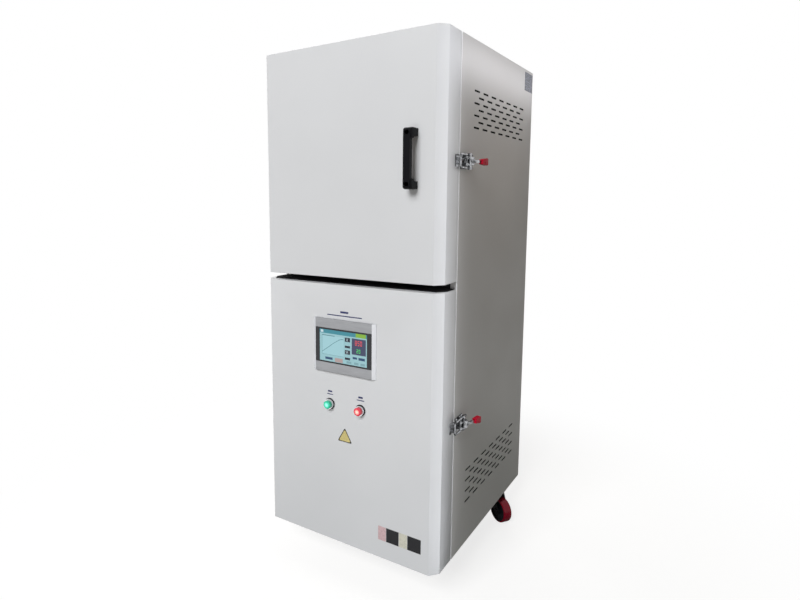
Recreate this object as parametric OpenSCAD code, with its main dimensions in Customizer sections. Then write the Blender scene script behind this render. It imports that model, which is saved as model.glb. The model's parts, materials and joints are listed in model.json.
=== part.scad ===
// Floor standing muffle furnace on castors: a heating chamber behind the upper
// door, the electrical compartment with the control panel behind the lower one.
// Millimetres, X to the right, Y to the back, Z up.
// Sizes are measured from the middle of the door front at the cabinet's underside;
// place() then moves the whole model to the middle of its footprint on the floor.

/* [Cabinet] */
// Space between the inner case and the side panels
side_space = 37.7; // [34:0.1:60]
// Space between the inner case and the rear panel
rear_space = 73.7; // [60:0.1:110]
// Thickness of the outer sheet metal
sheet_t = 2; // [1.5:0.5:2.5]
// Width of the bent returns on the side panels
return_w = 18; // [12:1:20]
// Leg width of the frame's steel angles
angle_w = 28; // [22:1:30]
// Thickness of the frame's steel angles
angle_t = 3; // [2:0.5:4]

/* [Doors] */
// Thickness of a door from its front face to its back plate
door_t = 96; // [85:1:105]
// Gap between a closed door and the body
door_gap = 4; // [3:0.5:6]
// Part of the upper door's height above and below the inner case
case_margin = 66.7; // [60:0.1:80]
// Height of the lower door
lower_door_h = 746; // [690:1:800]
// Gap between the two doors
doors_apart = 20; // [10:1:26]
// Chamfer on the doors' upright edges, along the front
chamfer_x = 21; // [10:1:30]
// Chamfer on the doors' upright edges, along the side
chamfer_y = 25; // [10:1:35]
// Width of the door seals
seal_w = 12; // [8:1:16]
// Inset of the door seals from the door's outline
seal_inset = 20; // [19:1:30]

/* [Chamber] */
// Width of the heating chamber
chamber_w = 300; // [260:5:320]
// Height of the heating chamber
chamber_h = 300; // [260:5:320]
// Depth of the heating chamber
chamber_d = 400; // [360:10:460]
// Thickness of the fibre insulation around the chamber
insulation_t = 88; // [75:1:90]
// Thickness of the insulation behind the chamber
rear_insulation_t = 116; // [90:2:120]
// Width of the insulation face left free around the chamber mouth
mouth_land = 46; // [30:1:55]
// Depth that the door plug reaches into the chamber mouth
plug_reach = 20; // [10:1:30]
// Clearance around the door plug
plug_clear = 4; // [3:0.5:6]
// Thickness of the hearth plate
hearth_t = 12; // [8:1:20]

/* [Heating elements] */
// Radius of the hot part of a heating element
element_r = 3; // [2:0.5:4]
// Radius of a heating element's terminal shank
shank_r = 6; // [5:0.5:8]
// Distance between the two legs of a heating element
leg_spacing = 50; // [40:1:70]
// Distance from the chamber's side wall to the heating elements
element_inset = 18; // [12:1:25]
// Length of the element shanks that stands out of their holders
shank_out = 22; // [12:1:26]
// Height of the ceramic element holders
holder_h = 18; // [10:1:20]

/* [Vents] */
// Rows of vent slots in one field
vent_rows = 7; // [3:1:9]
// Slots in a full row
vent_cols = 7; // [3:1:7]
// Distance between the rows
vent_pitch_z = 15.6; // [12:0.2:18]
// Length of a vent slot
slot_l = 38; // [20:1:44]
// Height of a vent slot
slot_h = 5; // [3:0.5:7]
// Distance from the cabinet's top or bottom to a vent field's first row
vent_inset = 126; // [90:1:140]
// Distance from the body's front to a vent field's first column
vent_front = 109; // [90:1:120]
// Distance from the body's back to a vent field's last column
vent_rear = 109.4; // [90:0.2:120]

/* [Upper door handle] */
// Height of the bridge handle
handle_h = 146; // [110:1:180]
// Distance that the handle stands off the door
handle_out = 40; // [30:1:60]
// Width of the handle's grip bar
handle_bar_w = 18; // [14:1:24]
// Thickness of the handle's grip bar
handle_bar_t = 13; // [10:1:18]
// Width and height of the handle's feet
handle_foot = 24; // [20:1:30]
// Distance from the door's right edge to the handle's middle
handle_inset = 77; // [60:1:120]

/* [Control panel] */
// Width of the operator panel
panel_w = 202; // [180:1:230]
// Height of the operator panel
panel_h = 150; // [130:1:170]
// Thickness of the operator panel's frame in front of the door
panel_t = 8; // [5:0.5:12]
// Depth of the operator panel's case behind the door front
panel_case_d = 42; // [30:1:55]
// Width of the sloping sides of the operator panel's frame
panel_bevel = 10; // [6:0.5:14]
// Height of the black glass across the operator panel
glass_h = 98; // [80:1:110]
// Depth of the glass in the operator panel's frame
glass_t = 2; // [1:0.5:3]
// Distance from the lower door's top to the operator panel's middle
panel_drop = 170; // [130:1:240]
// Distance between the two push buttons
button_spacing = 100; // [70:1:140]
// Distance from the operator panel's middle down to the push buttons
button_drop = 169; // [125:1:220]
// Radius of the hole for a push button
button_hole_r = 11.1; // [9:0.1:12]
// Radius of a push button's lens
lens_r = 11.4; // [11.2:0.1:12]
// Distance that a lens stands out of the door
lens_out = 19; // [17:0.5:24]
// Travel of a push button
button_travel = 3.5; // [2:0.5:4]

/* [Clamps] */
// Height of the upper clamp above the middle of the upper door
upper_clamp_shift = -3; // [-150:1:150]
// Height of the lower clamp above the middle of the lower door
lower_clamp_shift = 7; // [-150:1:150]
// Distance from the body's front to the lever's pivot
pivot_back = 18; // [16:1:26]
// Distance from the lever's pivot to the hook's trunnion
crank_r = 20; // [18:1:24]
// Length of the lever from its pivot to the grip's end
lever_l = 74; // [66:1:100]
// Angle of the closed lever away from the side panel
lever_angle = 15; // [8:1:25]
// Radius of the hook's rods
rod_r = 2.5; // [2:0.25:3]
// Distance between the hook's two rods
rod_spacing = 32; // [30:1:38]
// Distance that the catch stands out from the door's side
catch_out = 8.5; // [7:0.5:11]

/* [Hinges] */
// Height of a hinge
hinge_h = 90; // [60:2:120]
// Radius of a hinge's knuckle
knuckle_r = 7; // [6:0.5:8]
// Distance of the hinge pin from the door's left side
hinge_off = 9; // [8.5:0.5:12]
// Radius of a hinge pin
hinge_pin_r = 4; // [3:0.5:5]
// Distance from a door's top and bottom to its hinges
hinge_inset = 70; // [40:5:120]

/* [Castors] */
// Height of a castor from the floor to the cabinet's underside
castor_h = 108; // [104:1:130]
// Radius of a castor wheel
wheel_r = 39.5; // [34:0.5:41]
// Width of a castor wheel's tread
tread_w = 30; // [24:1:34]
// Thickness of the tread
tread_t = 5; // [4:0.5:10]
// Distance that a wheel's axle trails behind its swivel pin
trail = 34; // [24:1:38]
// Distance from the body's side to a front castor's swivel pin
front_castor_inset = 60; // [40:1:80]
// Distance from the body's side to a rear castor's swivel pin
rear_castor_inset = 40; // [36:1:60]
// Distance from the body's front or back to a castor's swivel pin
castor_inset_y = 126; // [90:1:160]

/* [Rear fittings] */
// Outer radius of the exhaust flue
flue_r = 20; // [15:1:26]
// Wall of the exhaust flue
flue_wall = 4; // [3:0.5:6]
// Distance that the flue stands out of the body's back
flue_out = 45; // [30:1:70]
// Radius of the cable gland's bore
gland_bore_r = 9; // [6:0.5:10]

/* [Hidden] */
$fn = 48;

// Clearances
fit_clear = 0.3;
run_clear = 0.05;
seat_clear = 0.02;
cut = 1;

// Colours
door_grey = "#d4d5d6";
side_grey = "#c8c8c6";
dark_steel = "#3a3c3f";
zinc = "#b9bcc0";
chrome = "#d9dce0";
fibre = "#f1eee6";
ceramic = "#e6dccb";
black = "#1b1b1d";
red = "#c01024";
green = "#12b886";
copper = "#b5713a";
iron = "#55585c";

// Inner case around the insulation, and the cabinet around it
case_t = 2;
case_w = chamber_w + 2 * (insulation_t + fit_clear + case_t);
case_h = chamber_h + 2 * (insulation_t + fit_clear + case_t);
insulation_d = chamber_d + rear_insulation_t;
case_d = insulation_d + fit_clear + case_t;
cabinet_w = case_w + 2 * (side_space + sheet_t);
body_d = case_d + rear_space + 4 * sheet_t;
upper_door_h = case_h + 2 * case_margin;
cabinet_h = upper_door_h + doors_apart + lower_door_h;

// Planes of the cabinet
half_w = cabinet_w / 2;
body_y0 = door_t + door_gap;
body_y1 = body_y0 + body_d;
fascia_y = body_y0 + sheet_t;
frame_y0 = fascia_y + sheet_t;
frame_y1 = body_y1 - 2 * sheet_t;
inner_x = half_w - sheet_t;
upper_door_z = lower_door_h + doors_apart;
chamber_z = upper_door_z + upper_door_h / 2;

// Planes of the chamber and its case
chamber_y1 = frame_y0 + chamber_d;
case_y1 = frame_y0 + case_d;
case_top = chamber_z + case_h / 2;
case_bottom = chamber_z - case_h / 2;
shelf_top = upper_door_z - doors_apart / 2 + sheet_t;
shelf_flange = 20;
mouth_w = chamber_w + 2 * mouth_land;
mouth_h = chamber_h + 2 * mouth_land;
stand_w = 40;
hearth_edge = 8;

// Heating elements and temperature sensor
element_x = chamber_w / 2 - element_inset;
element_y = [frame_y0 + chamber_d * 0.3, frame_y0 + chamber_d * 0.75];
element_floor_gap = 18;
element_bottom = chamber_z - chamber_h / 2 + hearth_t + element_floor_gap;
shank_depth = 12;
holder_edge = 8;
sheath_r = 5;
sheath_in = 50;
sensor_head_r = 20;
sensor_head_l = 34;
sensor_flange_r = 27;
sensor_flange_t = 4;
thermocouple_z = chamber_z + chamber_h / 5;

// Vents
vent_pitch_y = (body_d - vent_front - vent_rear) / (vent_cols - 1);
rear_vent_cols = 5;
rear_vent_rows = 5;
rear_vent_drop = 60;
grille_rows = 6;
grille_cols = 4;
grille_slot_l = 0.7 * slot_l;

// Flue and cable gland
flue_x = chamber_w / 2 - 50;
flue_z = chamber_z + chamber_h / 2 - 55;
flue_flange_w = 16;
flue_flange_t = 2;
flue_screw_r = 2.5;
gland_x = -inner_x + 88;
gland_z = 110;
gland_shank_r = gland_bore_r + 3;
gland_hex_w = 6;
gland_in = 12;
gland_nut_t = 6;
gland_hex_t = 8;
gland_out = 22;

// Mounting plate and what is fixed to it
plate_y1 = frame_y1 - angle_w;
plate_y0 = plate_y1 - sheet_t;
plate_bottom = 90;
plate_top_gap = 60;
plate_z1 = lower_door_h - plate_top_gap;
rail_drop = 66;
rail_z = plate_z1 - rail_drop;
rail_w = 340;
rail_h = 35;
rail_d = 8;
rail_t = 1;
rail_step = 5;
breaker = [-120, 54, 84, 62];
contactor = [-50, 46, 76, 84];
terminal = [20, 8, 50, 40];
terminal_n = 10;
terminal_gap = 0.2;
nose_share = 0.7;
sink_x = 120;
sink_w = 120;
sink_h = 150;
sink_d = 50;
sink_base_t = 6;
sink_fins = 11;
sink_fin_t = 3;
module_d = 38;
module_edge = 20;
regulator_z = rail_z - sink_h;

// Transformer
core_x = -60;
core_y = (body_y0 + body_y1) / 2 - 60;
core_w = 150;
core_h = 140;
core_d = 60;
core_leg_w = 30;
core_foot = 12;
coil_out = 22;
coil_edge = 2;

// Door details
seal_t = fascia_y - door_t - fit_clear;
pad_clear = 3;
pad_reach = frame_y0 - door_t - 1;
opening_side = 44;
opening_bottom = 60;
service_side = 30;
service_top = 20;
service_bottom = 60;
fill_gap = 3;

// Handle, operator panel and push buttons
handle_x = half_w - handle_inset;
handle_pitch = handle_h - handle_foot;
handle_inner = handle_h / 2 - 0.8 * handle_foot;
handle_corner = 14;
handle_step = 4;
screw_r = 3;
screw_seat = 12;
screw_head_r = 5;
screw_head_t = 6;
screw_bore_r = 6;
socket_r = 2.9;
socket_t = 3;
nut_r = 5.8;
nut_t = 5;
neck_r = 12;
panel_x = 0;
panel_z = lower_door_h - panel_drop;
panel_edge = 2;
panel_front_w = panel_w - 2 * panel_bevel;
panel_cut_h = panel_h - 2 * panel_bevel;
button_x0 = 2;
button_x = [button_x0 - button_spacing / 2, button_x0 + button_spacing / 2];
button_z = panel_z - button_drop;
washer_t = 3;
washer_r = 15.5;
ring_t = 8;
ring_r = 14;
stem_r = 6;
stem_end = 20;
stem_space = 2;
lens_space = 0.5;
lens_dome = 2;
block_half = 15;
block_wall = 12;

// Hinge line at the joint between doors and body
hinge_x = -half_w - hinge_off;
hinge_y = door_t + door_gap / 2;
leaf_t = 4;
leaf_l = 36;
hinge_gap = 0.4;
pin_margin = 8;
hinge_cap = 6;

// Clamp geometry, measured outwards from the cabinet's right side
upper_clamp_z = chamber_z + upper_clamp_shift;
lower_clamp_z = lower_door_h / 2 + lower_clamp_shift;
pin_r = 3;
pin_head = 1.5;
hook_x = catch_out + fit_clear + rod_r;
clamp_y = body_y0 + pivot_back;
trunnion_r = 4.5;
trunnion_y = clamp_y + crank_r;
catch_y = door_t - 17;
catch_t = 2.5;
catch_w = 18;
catch_plate = [-8, 14];
catch_edge = 6;
catch_rib_t = 3;
catch_rib_l = 10;
base_t = 3;
base_z = 38;
base_y0 = body_y0 + 3;
base_l = pivot_back + crank_r + 10;
base_screw_r = 2.25;
base_screw_y = 6;
base_screw_z = 5;
ear_t = 2.5;
ear_z = 5;
ear_half = 5.5;
cheek_t = 2;
cheek_z = ear_z + ear_t + 0.5;
web_v = 6;
grip_l = 24;
grip_v0 = 1;
grip_v1 = 13;
grip_half0 = 6;
grip_half1 = 9;
grip_tip = 2;
grip_flare = 7;
strap_half = 3.5;
strap_v0 = 5;
strap_in = 6;
web_u = 3;
web_end = 21;
lobe_wall = 2.5;
bar_end = 2;
hook_bend = 6;
hook_thread = 12;
hook_nut_r = 1.85 * rod_r;
hook_nut_t = 4;

// Castor geometry
plate_x = 62;
plate_y = 84;
plate_t = 4;
race_r = 27;
race_t = 6;
kingpin_r = 5;
crown_t = 5;
axle_r = 4;
cheek_gap = 1.5;
fork_t = 3;
plate_hole_r = 4.25;
plate_hole_in = 9;
pin_cap = 3;
axle_nut_r = 7;
axle_nut_t = 4;
axle_end = 0.5;
fork_eye_r = 11;
hub_r = wheel_r - tread_t;
hub_boss_r = 12;
hub_dish = 5;
hub_rim = 3;
tread_round = 4;
front_castor_x = half_w - front_castor_inset;
rear_castor_x = half_w - rear_castor_inset;
castor_front_y = body_y0 + castor_inset_y;
castor_rear_y = body_y1 - castor_inset_y;
castor_row_x = [front_castor_x, rear_castor_x];
castor_row_y = [castor_front_y, castor_rear_y];
// Directions in which the wheels trail at rest, counted from +X
front_left_yaw = 60;
front_right_yaw = 150;
rear_left_yaw = -120;
rear_right_yaw = -34;

// Extent of the whole model
x_min = hinge_x - knuckle_r;
x_max = half_w + hook_x + lever_l * sin(lever_angle) + grip_v1 * cos(lever_angle);
y_min = -handle_out;
y_max = body_y1 + flue_out;

// Moves the model to the middle of its footprint, standing on the floor
module place() {
    translate([-(x_min + x_max) / 2, -(y_min + y_max) / 2, castor_h]) children();
}

// Box given by its low and high corners
module box(low, high) {
    translate(low) cube([high[0] - low[0], high[1] - low[1], high[2] - low[2]]);
}

// Box that is symmetric about x = 0
module wide_box(half, y0, y1, z0, z1) {
    box([-half, y0, z0], [half, y1, z1]);
}

// Cylinder along Y from y0 to y1
module rod_y(x, z, r, y0, y1) {
    translate([x, y0, z]) rotate([-90, 0, 0]) cylinder(r = r, h = y1 - y0);
}

// Slot with round ends, seen in the plane of its sheet
module slot_shape(l, h) {
    square([l - h, h], center = true);
    for (side = [-1, 1]) translate([side * (l - h) / 2, 0]) circle(d = h, $fn = 16);
}

// Field of staggered slots; its first row is full and the next is one slot shorter
module vent_field(cols, rows) {
    for (row = [0 : rows - 1], col = [0 : cols - 1 - row % 2])
        translate([(col + (row % 2) / 2) * vent_pitch_y, row * vent_pitch_z]) slot_shape(slot_l, slot_h);
}

// Steel angle frame that carries the panels
module frame_angles() {
    color(dark_steel) place() for (mx = [0, 1], my = [0, 1]) frame_corner(mx, my);
    color(dark_steel) place() for (level = [0, 1]) frame_ring(level);
}

module frame_corner(mx, my) {
    x0 = mx == 0 ? -inner_x : inner_x - angle_t;
    y0 = my == 0 ? frame_y0 : frame_y1 - angle_t;
    x1 = mx == 0 ? -inner_x : inner_x - angle_w;
    y1 = my == 0 ? frame_y0 : frame_y1 - angle_w;
    box([x0, y1, sheet_t], [x0 + angle_t, y1 + angle_w, cabinet_h - sheet_t]);
    box([x1, y0, sheet_t], [x1 + angle_w, y0 + angle_t, cabinet_h - sheet_t]);
}

module frame_ring(level) {
    z0 = level == 0 ? sheet_t : cabinet_h - sheet_t - angle_t;
    z1 = level == 0 ? sheet_t : cabinet_h - sheet_t - angle_w;
    for (side = [-1, 1]) {
        flat_x = side < 0 ? -inner_x : inner_x - angle_w;
        wall_x = side < 0 ? -inner_x : inner_x - angle_t;
        box([flat_x, frame_y0, z0], [flat_x + angle_w, frame_y1, z0 + angle_t]);
        box([wall_x, frame_y0, z1], [wall_x + angle_t, frame_y1, z1 + angle_w]);
    }
    for (end = [0, 1]) {
        flat_y = end == 0 ? frame_y0 : frame_y1 - angle_w;
        wall_y = end == 0 ? frame_y0 : frame_y1 - angle_t;
        wide_box(inner_x, flat_y, flat_y + angle_w, z0, z0 + angle_t);
        wide_box(inner_x, wall_y, wall_y + angle_t, z1, z1 + angle_w);
    }
}

// Folded side panel with an upper and a lower field of vent slots; side is -1 or 1
module side_panel(side) {
    place() difference() {
        union() {
            mirror_x(side) box([inner_x, body_y0, 0], [half_w, body_y1, cabinet_h]);
            mirror_x(side) box([half_w - return_w, body_y0, sheet_t],
                [half_w, fascia_y, cabinet_h - sheet_t]);
            mirror_x(side) box([half_w - return_w, body_y1 - sheet_t, sheet_t],
                [half_w, body_y1, cabinet_h - sheet_t]);
        }
        for (level = [0, 1]) {
            first_z = level == 0 ? vent_inset : cabinet_h - vent_inset - (vent_rows - 1) * vent_pitch_z;
            translate([side * half_w - 2 * sheet_t, body_y0 + vent_front, first_z])
                rotate([90, 0, 90]) linear_extrude(4 * sheet_t)
                    vent_field(vent_cols, vent_rows);
        }
    }
}

module mirror_x(side) {
    mirror([side < 0 ? 1 : 0, 0, 0]) children();
}

module left_side_panel() {
    color(side_grey) side_panel(-1);
}

module right_side_panel() {
    color(side_grey) side_panel(1);
}

module top_panel() {
    color(side_grey) place() wide_box(inner_x, body_y0, body_y1, cabinet_h - sheet_t, cabinet_h);
}

// Floor of the cabinet with an air inlet grille under the transformer
module bottom_panel() {
    color(side_grey) place() difference() {
        wide_box(inner_x, body_y0, body_y1, 0, sheet_t);
        translate([-grille_cols / 2 * slot_l, (body_y0 + body_y1) / 2, -cut])
            linear_extrude(sheet_t + 2 * cut)
                for (row = [0 : grille_rows - 1], col = [0 : grille_cols - 1])
                    translate([(col + 0.5) * slot_l, row * vent_pitch_z]) slot_shape(grille_slot_l, slot_h);
    }
}

// Back wall with the holes for flue and cable gland and its own vent slots
module rear_panel() {
    vent_z = upper_door_z - rear_vent_rows * vent_pitch_z - rear_vent_drop;
    color(side_grey) place() difference() {
        wide_box(inner_x, frame_y1, body_y1 - sheet_t, sheet_t, cabinet_h - sheet_t);
        rod_y(flue_x, flue_z, flue_r + fit_clear, frame_y1 - cut, body_y1);
        rod_y(gland_x, gland_z, gland_shank_r + run_clear, frame_y1 - cut, body_y1);
        translate([-(rear_vent_cols - 1) / 2 * vent_pitch_y, body_y1, vent_z])
            rotate([90, 0, 0]) linear_extrude(3 * sheet_t) vent_field(rear_vent_cols, rear_vent_rows);
    }
}

// Front wall: the chamber mouth above, the service opening below
module front_fascia() {
    color(dark_steel) place() difference() {
        wide_box(inner_x, fascia_y, frame_y0, sheet_t, cabinet_h - sheet_t);
        wide_box(mouth_w / 2, fascia_y - cut, frame_y0 + cut,
            chamber_z - mouth_h / 2, chamber_z + mouth_h / 2);
        wide_box(half_w - opening_side, fascia_y - cut, frame_y0 + cut,
            opening_bottom, lower_door_h - opening_bottom);
    }
}

// Shelf between the two compartments, folded down at its front and back
module divider_shelf() {
    shelf_x = inner_x - angle_w;
    color(zinc) place() {
        wide_box(shelf_x, frame_y0, frame_y1, shelf_top - sheet_t, shelf_top);
        wide_box(shelf_x, frame_y0, frame_y0 + sheet_t, shelf_top - shelf_flange, shelf_top);
        wide_box(shelf_x, frame_y1 - sheet_t, frame_y1, shelf_top - shelf_flange, shelf_top);
    }
}

// Steel case around the insulation, standing on two channels
module inner_case() {
    inner_w = case_w - 2 * case_t;
    inner_h = case_h - 2 * case_t;
    color(zinc) place() {
        difference() {
            wide_box(case_w / 2, frame_y0, case_y1, case_bottom, case_top);
            wide_box(inner_w / 2, frame_y0 - cut, case_y1 - case_t,
                chamber_z - inner_h / 2, chamber_z + inner_h / 2);
            rod_y(flue_x, flue_z, flue_r + fit_clear, case_y1 - 2 * case_t, case_y1 + cut);
            rod_y(0, thermocouple_z, sheath_r + fit_clear, case_y1 - 2 * case_t, case_y1 + cut);
            each_shank() cylinder(r = shank_r + 1, h = 4 * case_t, center = true);
        }
        for (side = [-1, 1]) translate([side * case_w / 4, 0, 0]) difference() {
            wide_box(stand_w / 2, frame_y0 + shelf_flange, case_y1 - shelf_flange, shelf_top, case_bottom);
            wide_box(stand_w / 2 - case_t, frame_y0, case_y1, shelf_top - cut, case_bottom - case_t);
        }
    }
}

// Places its children where each element shank passes the top of the case
module each_shank() {
    for (side = [-1, 1], bay = [0, 1], leg = [-1, 1])
        translate([side * element_x, element_y[bay] + leg * leg_spacing / 2, case_top - case_t / 2])
            children();
}

// Block of ceramic fibre with the chamber in it
module chamber_insulation() {
    out_w = chamber_w + 2 * insulation_t;
    out_h = chamber_h + 2 * insulation_t;
    color(fibre) place() difference() {
        wide_box(out_w / 2, frame_y0, frame_y0 + insulation_d,
            chamber_z - out_h / 2, chamber_z + out_h / 2);
        wide_box(chamber_w / 2, frame_y0 - cut, chamber_y1,
            chamber_z - chamber_h / 2, chamber_z + chamber_h / 2);
        rod_y(flue_x, flue_z, flue_r + fit_clear, chamber_y1 - cut, case_y1);
        rod_y(0, thermocouple_z, sheath_r + fit_clear, chamber_y1 - cut, case_y1);
        each_shank() translate([0, 0, -insulation_t - 4 * case_t])
            cylinder(r = shank_r + fit_clear, h = 2 * insulation_t);
    }
}

module hearth_plate() {
    floor_z = chamber_z - chamber_h / 2;
    color(ceramic) place()
        wide_box(chamber_w / 2 - hearth_edge, frame_y0 + plug_reach + hearth_edge, chamber_y1 - hearth_edge,
            floor_z, floor_z + hearth_t);
}

// Four hairpin elements that hang along the chamber's side walls
module heating_elements() {
    shank_bottom = chamber_z + chamber_h / 2 - shank_depth;
    shank_top = case_top + holder_h + shank_out;
    bend_z = element_bottom + leg_spacing / 2 + element_r;
    color(iron) place() for (side = [-1, 1], bay = [0, 1]) translate([side * element_x, element_y[bay], 0]) {
        for (leg = [-1, 1]) translate([0, leg * leg_spacing / 2, 0]) {
            translate([0, 0, shank_bottom]) cylinder(r = shank_r, h = shank_top - shank_bottom);
            translate([0, 0, bend_z]) cylinder(r = element_r, h = shank_bottom - bend_z);
        }
        translate([0, 0, bend_z]) rotate([90, 0, 90]) rotate([0, 0, 180])
            rotate_extrude(angle = 180) translate([leg_spacing / 2, 0]) circle(r = element_r, $fn = 24);
    }
}

// Ceramic blocks on the case that hold the element shanks
module element_holders() {
    holder_w = 2 * (shank_r + holder_edge);
    holder_l = leg_spacing + 2 * (shank_r + holder_edge);
    color(ceramic) place() for (side = [-1, 1], bay = [0, 1])
        translate([side * element_x, element_y[bay], case_top]) difference() {
            translate([-holder_w / 2, -holder_l / 2, 0]) cube([holder_w, holder_l, holder_h]);
            for (leg = [-1, 1]) translate([0, leg * leg_spacing / 2, -cut])
                cylinder(r = shank_r + seat_clear, h = holder_h + 2 * cut);
        }
}

// Temperature sensor: a ceramic sheath and its connection head on the case
module thermocouple() {
    sheath_y1 = case_y1 + sensor_head_l / 2;
    color(ceramic) place() {
        rod_y(0, thermocouple_z, sheath_r, chamber_y1 - sheath_in, sheath_y1);
        difference() {
            union() {
                rod_y(0, thermocouple_z, sensor_flange_r, case_y1, case_y1 + sensor_flange_t);
                rod_y(0, thermocouple_z, sensor_head_r, case_y1, case_y1 + sensor_head_l);
            }
            rod_y(0, thermocouple_z, sheath_r, case_y1 - cut, sheath_y1);
        }
    }
}

// Flue from the chamber's back wall through the rear panel
module exhaust_flue() {
    flange_r = flue_r + flue_flange_w;
    screw_circle = flue_r + flue_flange_w / 2;
    color(zinc) place() difference() {
        union() {
            rod_y(flue_x, flue_z, flue_r, chamber_y1, y_max);
            rod_y(flue_x, flue_z, flange_r, body_y1 - sheet_t, body_y1 + flue_flange_t);
        }
        rod_y(flue_x, flue_z, flue_r - flue_wall, chamber_y1 - cut, y_max + cut);
        for (a = [45 : 90 : 315])
            rod_y(flue_x + screw_circle * cos(a), flue_z + screw_circle * sin(a), flue_screw_r,
                body_y1 - 3 * sheet_t, body_y1 + 2 * flue_flange_t);
    }
}

// Gland for the supply cable, with its lock nut inside the rear panel
module cable_gland() {
    outer_y = body_y1 - sheet_t;
    color(black) place() difference() {
        union() {
            rod_y(gland_x, gland_z, gland_shank_r, frame_y1 - gland_in, outer_y + cut);
            translate([gland_x, outer_y, gland_z]) rotate([-90, 0, 0])
                cylinder(r = gland_shank_r + gland_hex_w, h = gland_hex_t, $fn = 6);
            rod_y(gland_x, gland_z, gland_shank_r + gland_hex_w / 2,
                outer_y + gland_hex_t, outer_y + gland_out);
            translate([gland_x, frame_y1 - gland_nut_t, gland_z]) rotate([-90, 0, 0])
                cylinder(r = gland_shank_r + gland_hex_w, h = gland_nut_t, $fn = 6);
        }
        rod_y(gland_x, gland_z, gland_bore_r, frame_y1 - gland_in - cut, outer_y + gland_out + cut);
    }
}

// Plate behind the lower compartment that carries the switchgear
module mounting_plate() {
    color(zinc) place() wide_box(inner_x - fit_clear, plate_y0, plate_y1, plate_bottom, plate_z1);
}

// Transformer on the cabinet floor: laminated core with two windings on an angle foot
module transformer() {
    window = (core_w - 3 * core_leg_w) / 2;
    coil_h = core_h - 2 * core_leg_w - 2 * fit_clear;
    coil_half = core_leg_w / 2 + window - coil_edge;
    leg_half = core_leg_w / 2 + fit_clear;
    color(iron) place() translate([core_x, core_y, sheet_t]) {
        difference() {
            box([-core_w / 2, -core_d / 2, core_foot], [core_w / 2, core_d / 2, core_foot + core_h]);
            for (side = [-1, 1])
                translate([side * (core_w - core_leg_w) / 4, 0, core_foot + core_h / 2])
                    cube([window, core_d + 2 * cut, core_h - 2 * core_leg_w], center = true);
        }
        for (side = [-1, 1]) translate([0, side * core_d / 2, 0])
            box([-core_w / 2, -core_foot, 0], [core_w / 2, core_foot, core_foot]);
    }
    color(copper) place() translate([core_x, core_y, sheet_t + core_foot + core_leg_w + fit_clear])
        difference() {
            box([-coil_half, -core_d / 2 - coil_out, 0], [coil_half, core_d / 2 + coil_out, coil_h]);
            box([-leg_half, -core_d / 2 - fit_clear, -cut], [leg_half, core_d / 2 + fit_clear, coil_h + cut]);
        }
}

// Power regulator: finned heat sink with its module and terminals
module power_regulator() {
    color(iron) place() translate([sink_x, plate_y0, regulator_z]) {
        box([-sink_w / 2, -sink_base_t, -sink_h / 2], [sink_w / 2, 0, sink_h / 2]);
        for (i = [0 : sink_fins - 1]) {
            fin_x = -sink_w / 2 + i * (sink_w - sink_fin_t) / (sink_fins - 1);
            box([fin_x, -sink_d, -sink_h / 2], [fin_x + sink_fin_t, 0, sink_h / 2]);
        }
        box([-sink_w / 2, -sink_d - module_d, -sink_h / 2 + module_edge],
            [sink_w / 2, -sink_d, sink_h / 2 - module_edge]);
    }
}

// Mounting rail with circuit breaker, contactor and terminals clipped on it
module rail_devices() {
    color(zinc) place() translate([0, plate_y0, rail_z]) {
        box([-rail_w / 2, -rail_t, -rail_h / 2 + rail_step], [rail_w / 2, 0, rail_h / 2 - rail_step]);
        for (side = [0, 1]) mirror([0, 0, side]) {
            box([-rail_w / 2, -rail_d, rail_h / 2 - rail_step - rail_t],
                [rail_w / 2, 0, rail_h / 2 - rail_step]);
            box([-rail_w / 2, -rail_d, rail_h / 2 - rail_step - rail_t],
                [rail_w / 2, -rail_d + rail_t, rail_h / 2]);
        }
    }
    color(black) place() translate([0, plate_y0 - rail_d, rail_z]) {
        device(breaker[0], breaker);
        device(contactor[0], contactor);
        for (i = [0 : terminal_n - 1]) device(terminal[0] + i * (terminal[1] + terminal_gap), terminal);
    }
}

// Rail mounted device at x: a body with a narrower nose; size holds x, width, height and depth
module device(x, size) {
    case = nose_share * size[3];
    box([x, -case, -size[2] / 2], [x + size[1], 0, size[2] / 2]);
    box([x, -size[3], -size[2] / 4], [x + size[1], -case, size[2] / 4]);
}

// Heights of the hinges' lower ends on a door that starts at z0
function hinge_z(z0, h) = [z0 + hinge_inset, z0 + h - hinge_inset - hinge_h];
all_hinge_z = concat(hinge_z(upper_door_z, upper_door_h), hinge_z(0, lower_door_h));

// Lift-off hinges: lower halves and pins on the cabinet
module cabinet_hinges() {
    half_h = hinge_h / 2;
    color(zinc) place() for (z = all_hinge_z) translate([0, 0, z]) {
        difference() {
            union() {
                translate([hinge_x, hinge_y, 0]) cylinder(r = knuckle_r, h = half_h - hinge_gap);
                box([-half_w - leaf_t, hinge_y, 0], [-half_w, body_y0 + leaf_l, half_h - hinge_gap]);
                box([-half_w - leaf_t, body_y0 + knuckle_r, 0], [-half_w, body_y0 + leaf_l, hinge_h]);
            }
            translate([hinge_x, hinge_y, pin_margin]) cylinder(r = hinge_pin_r + seat_clear, h = hinge_h);
        }
        translate([hinge_x, hinge_y, pin_margin]) cylinder(r = hinge_pin_r, h = hinge_h - 2 * pin_margin);
    }
}

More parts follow.
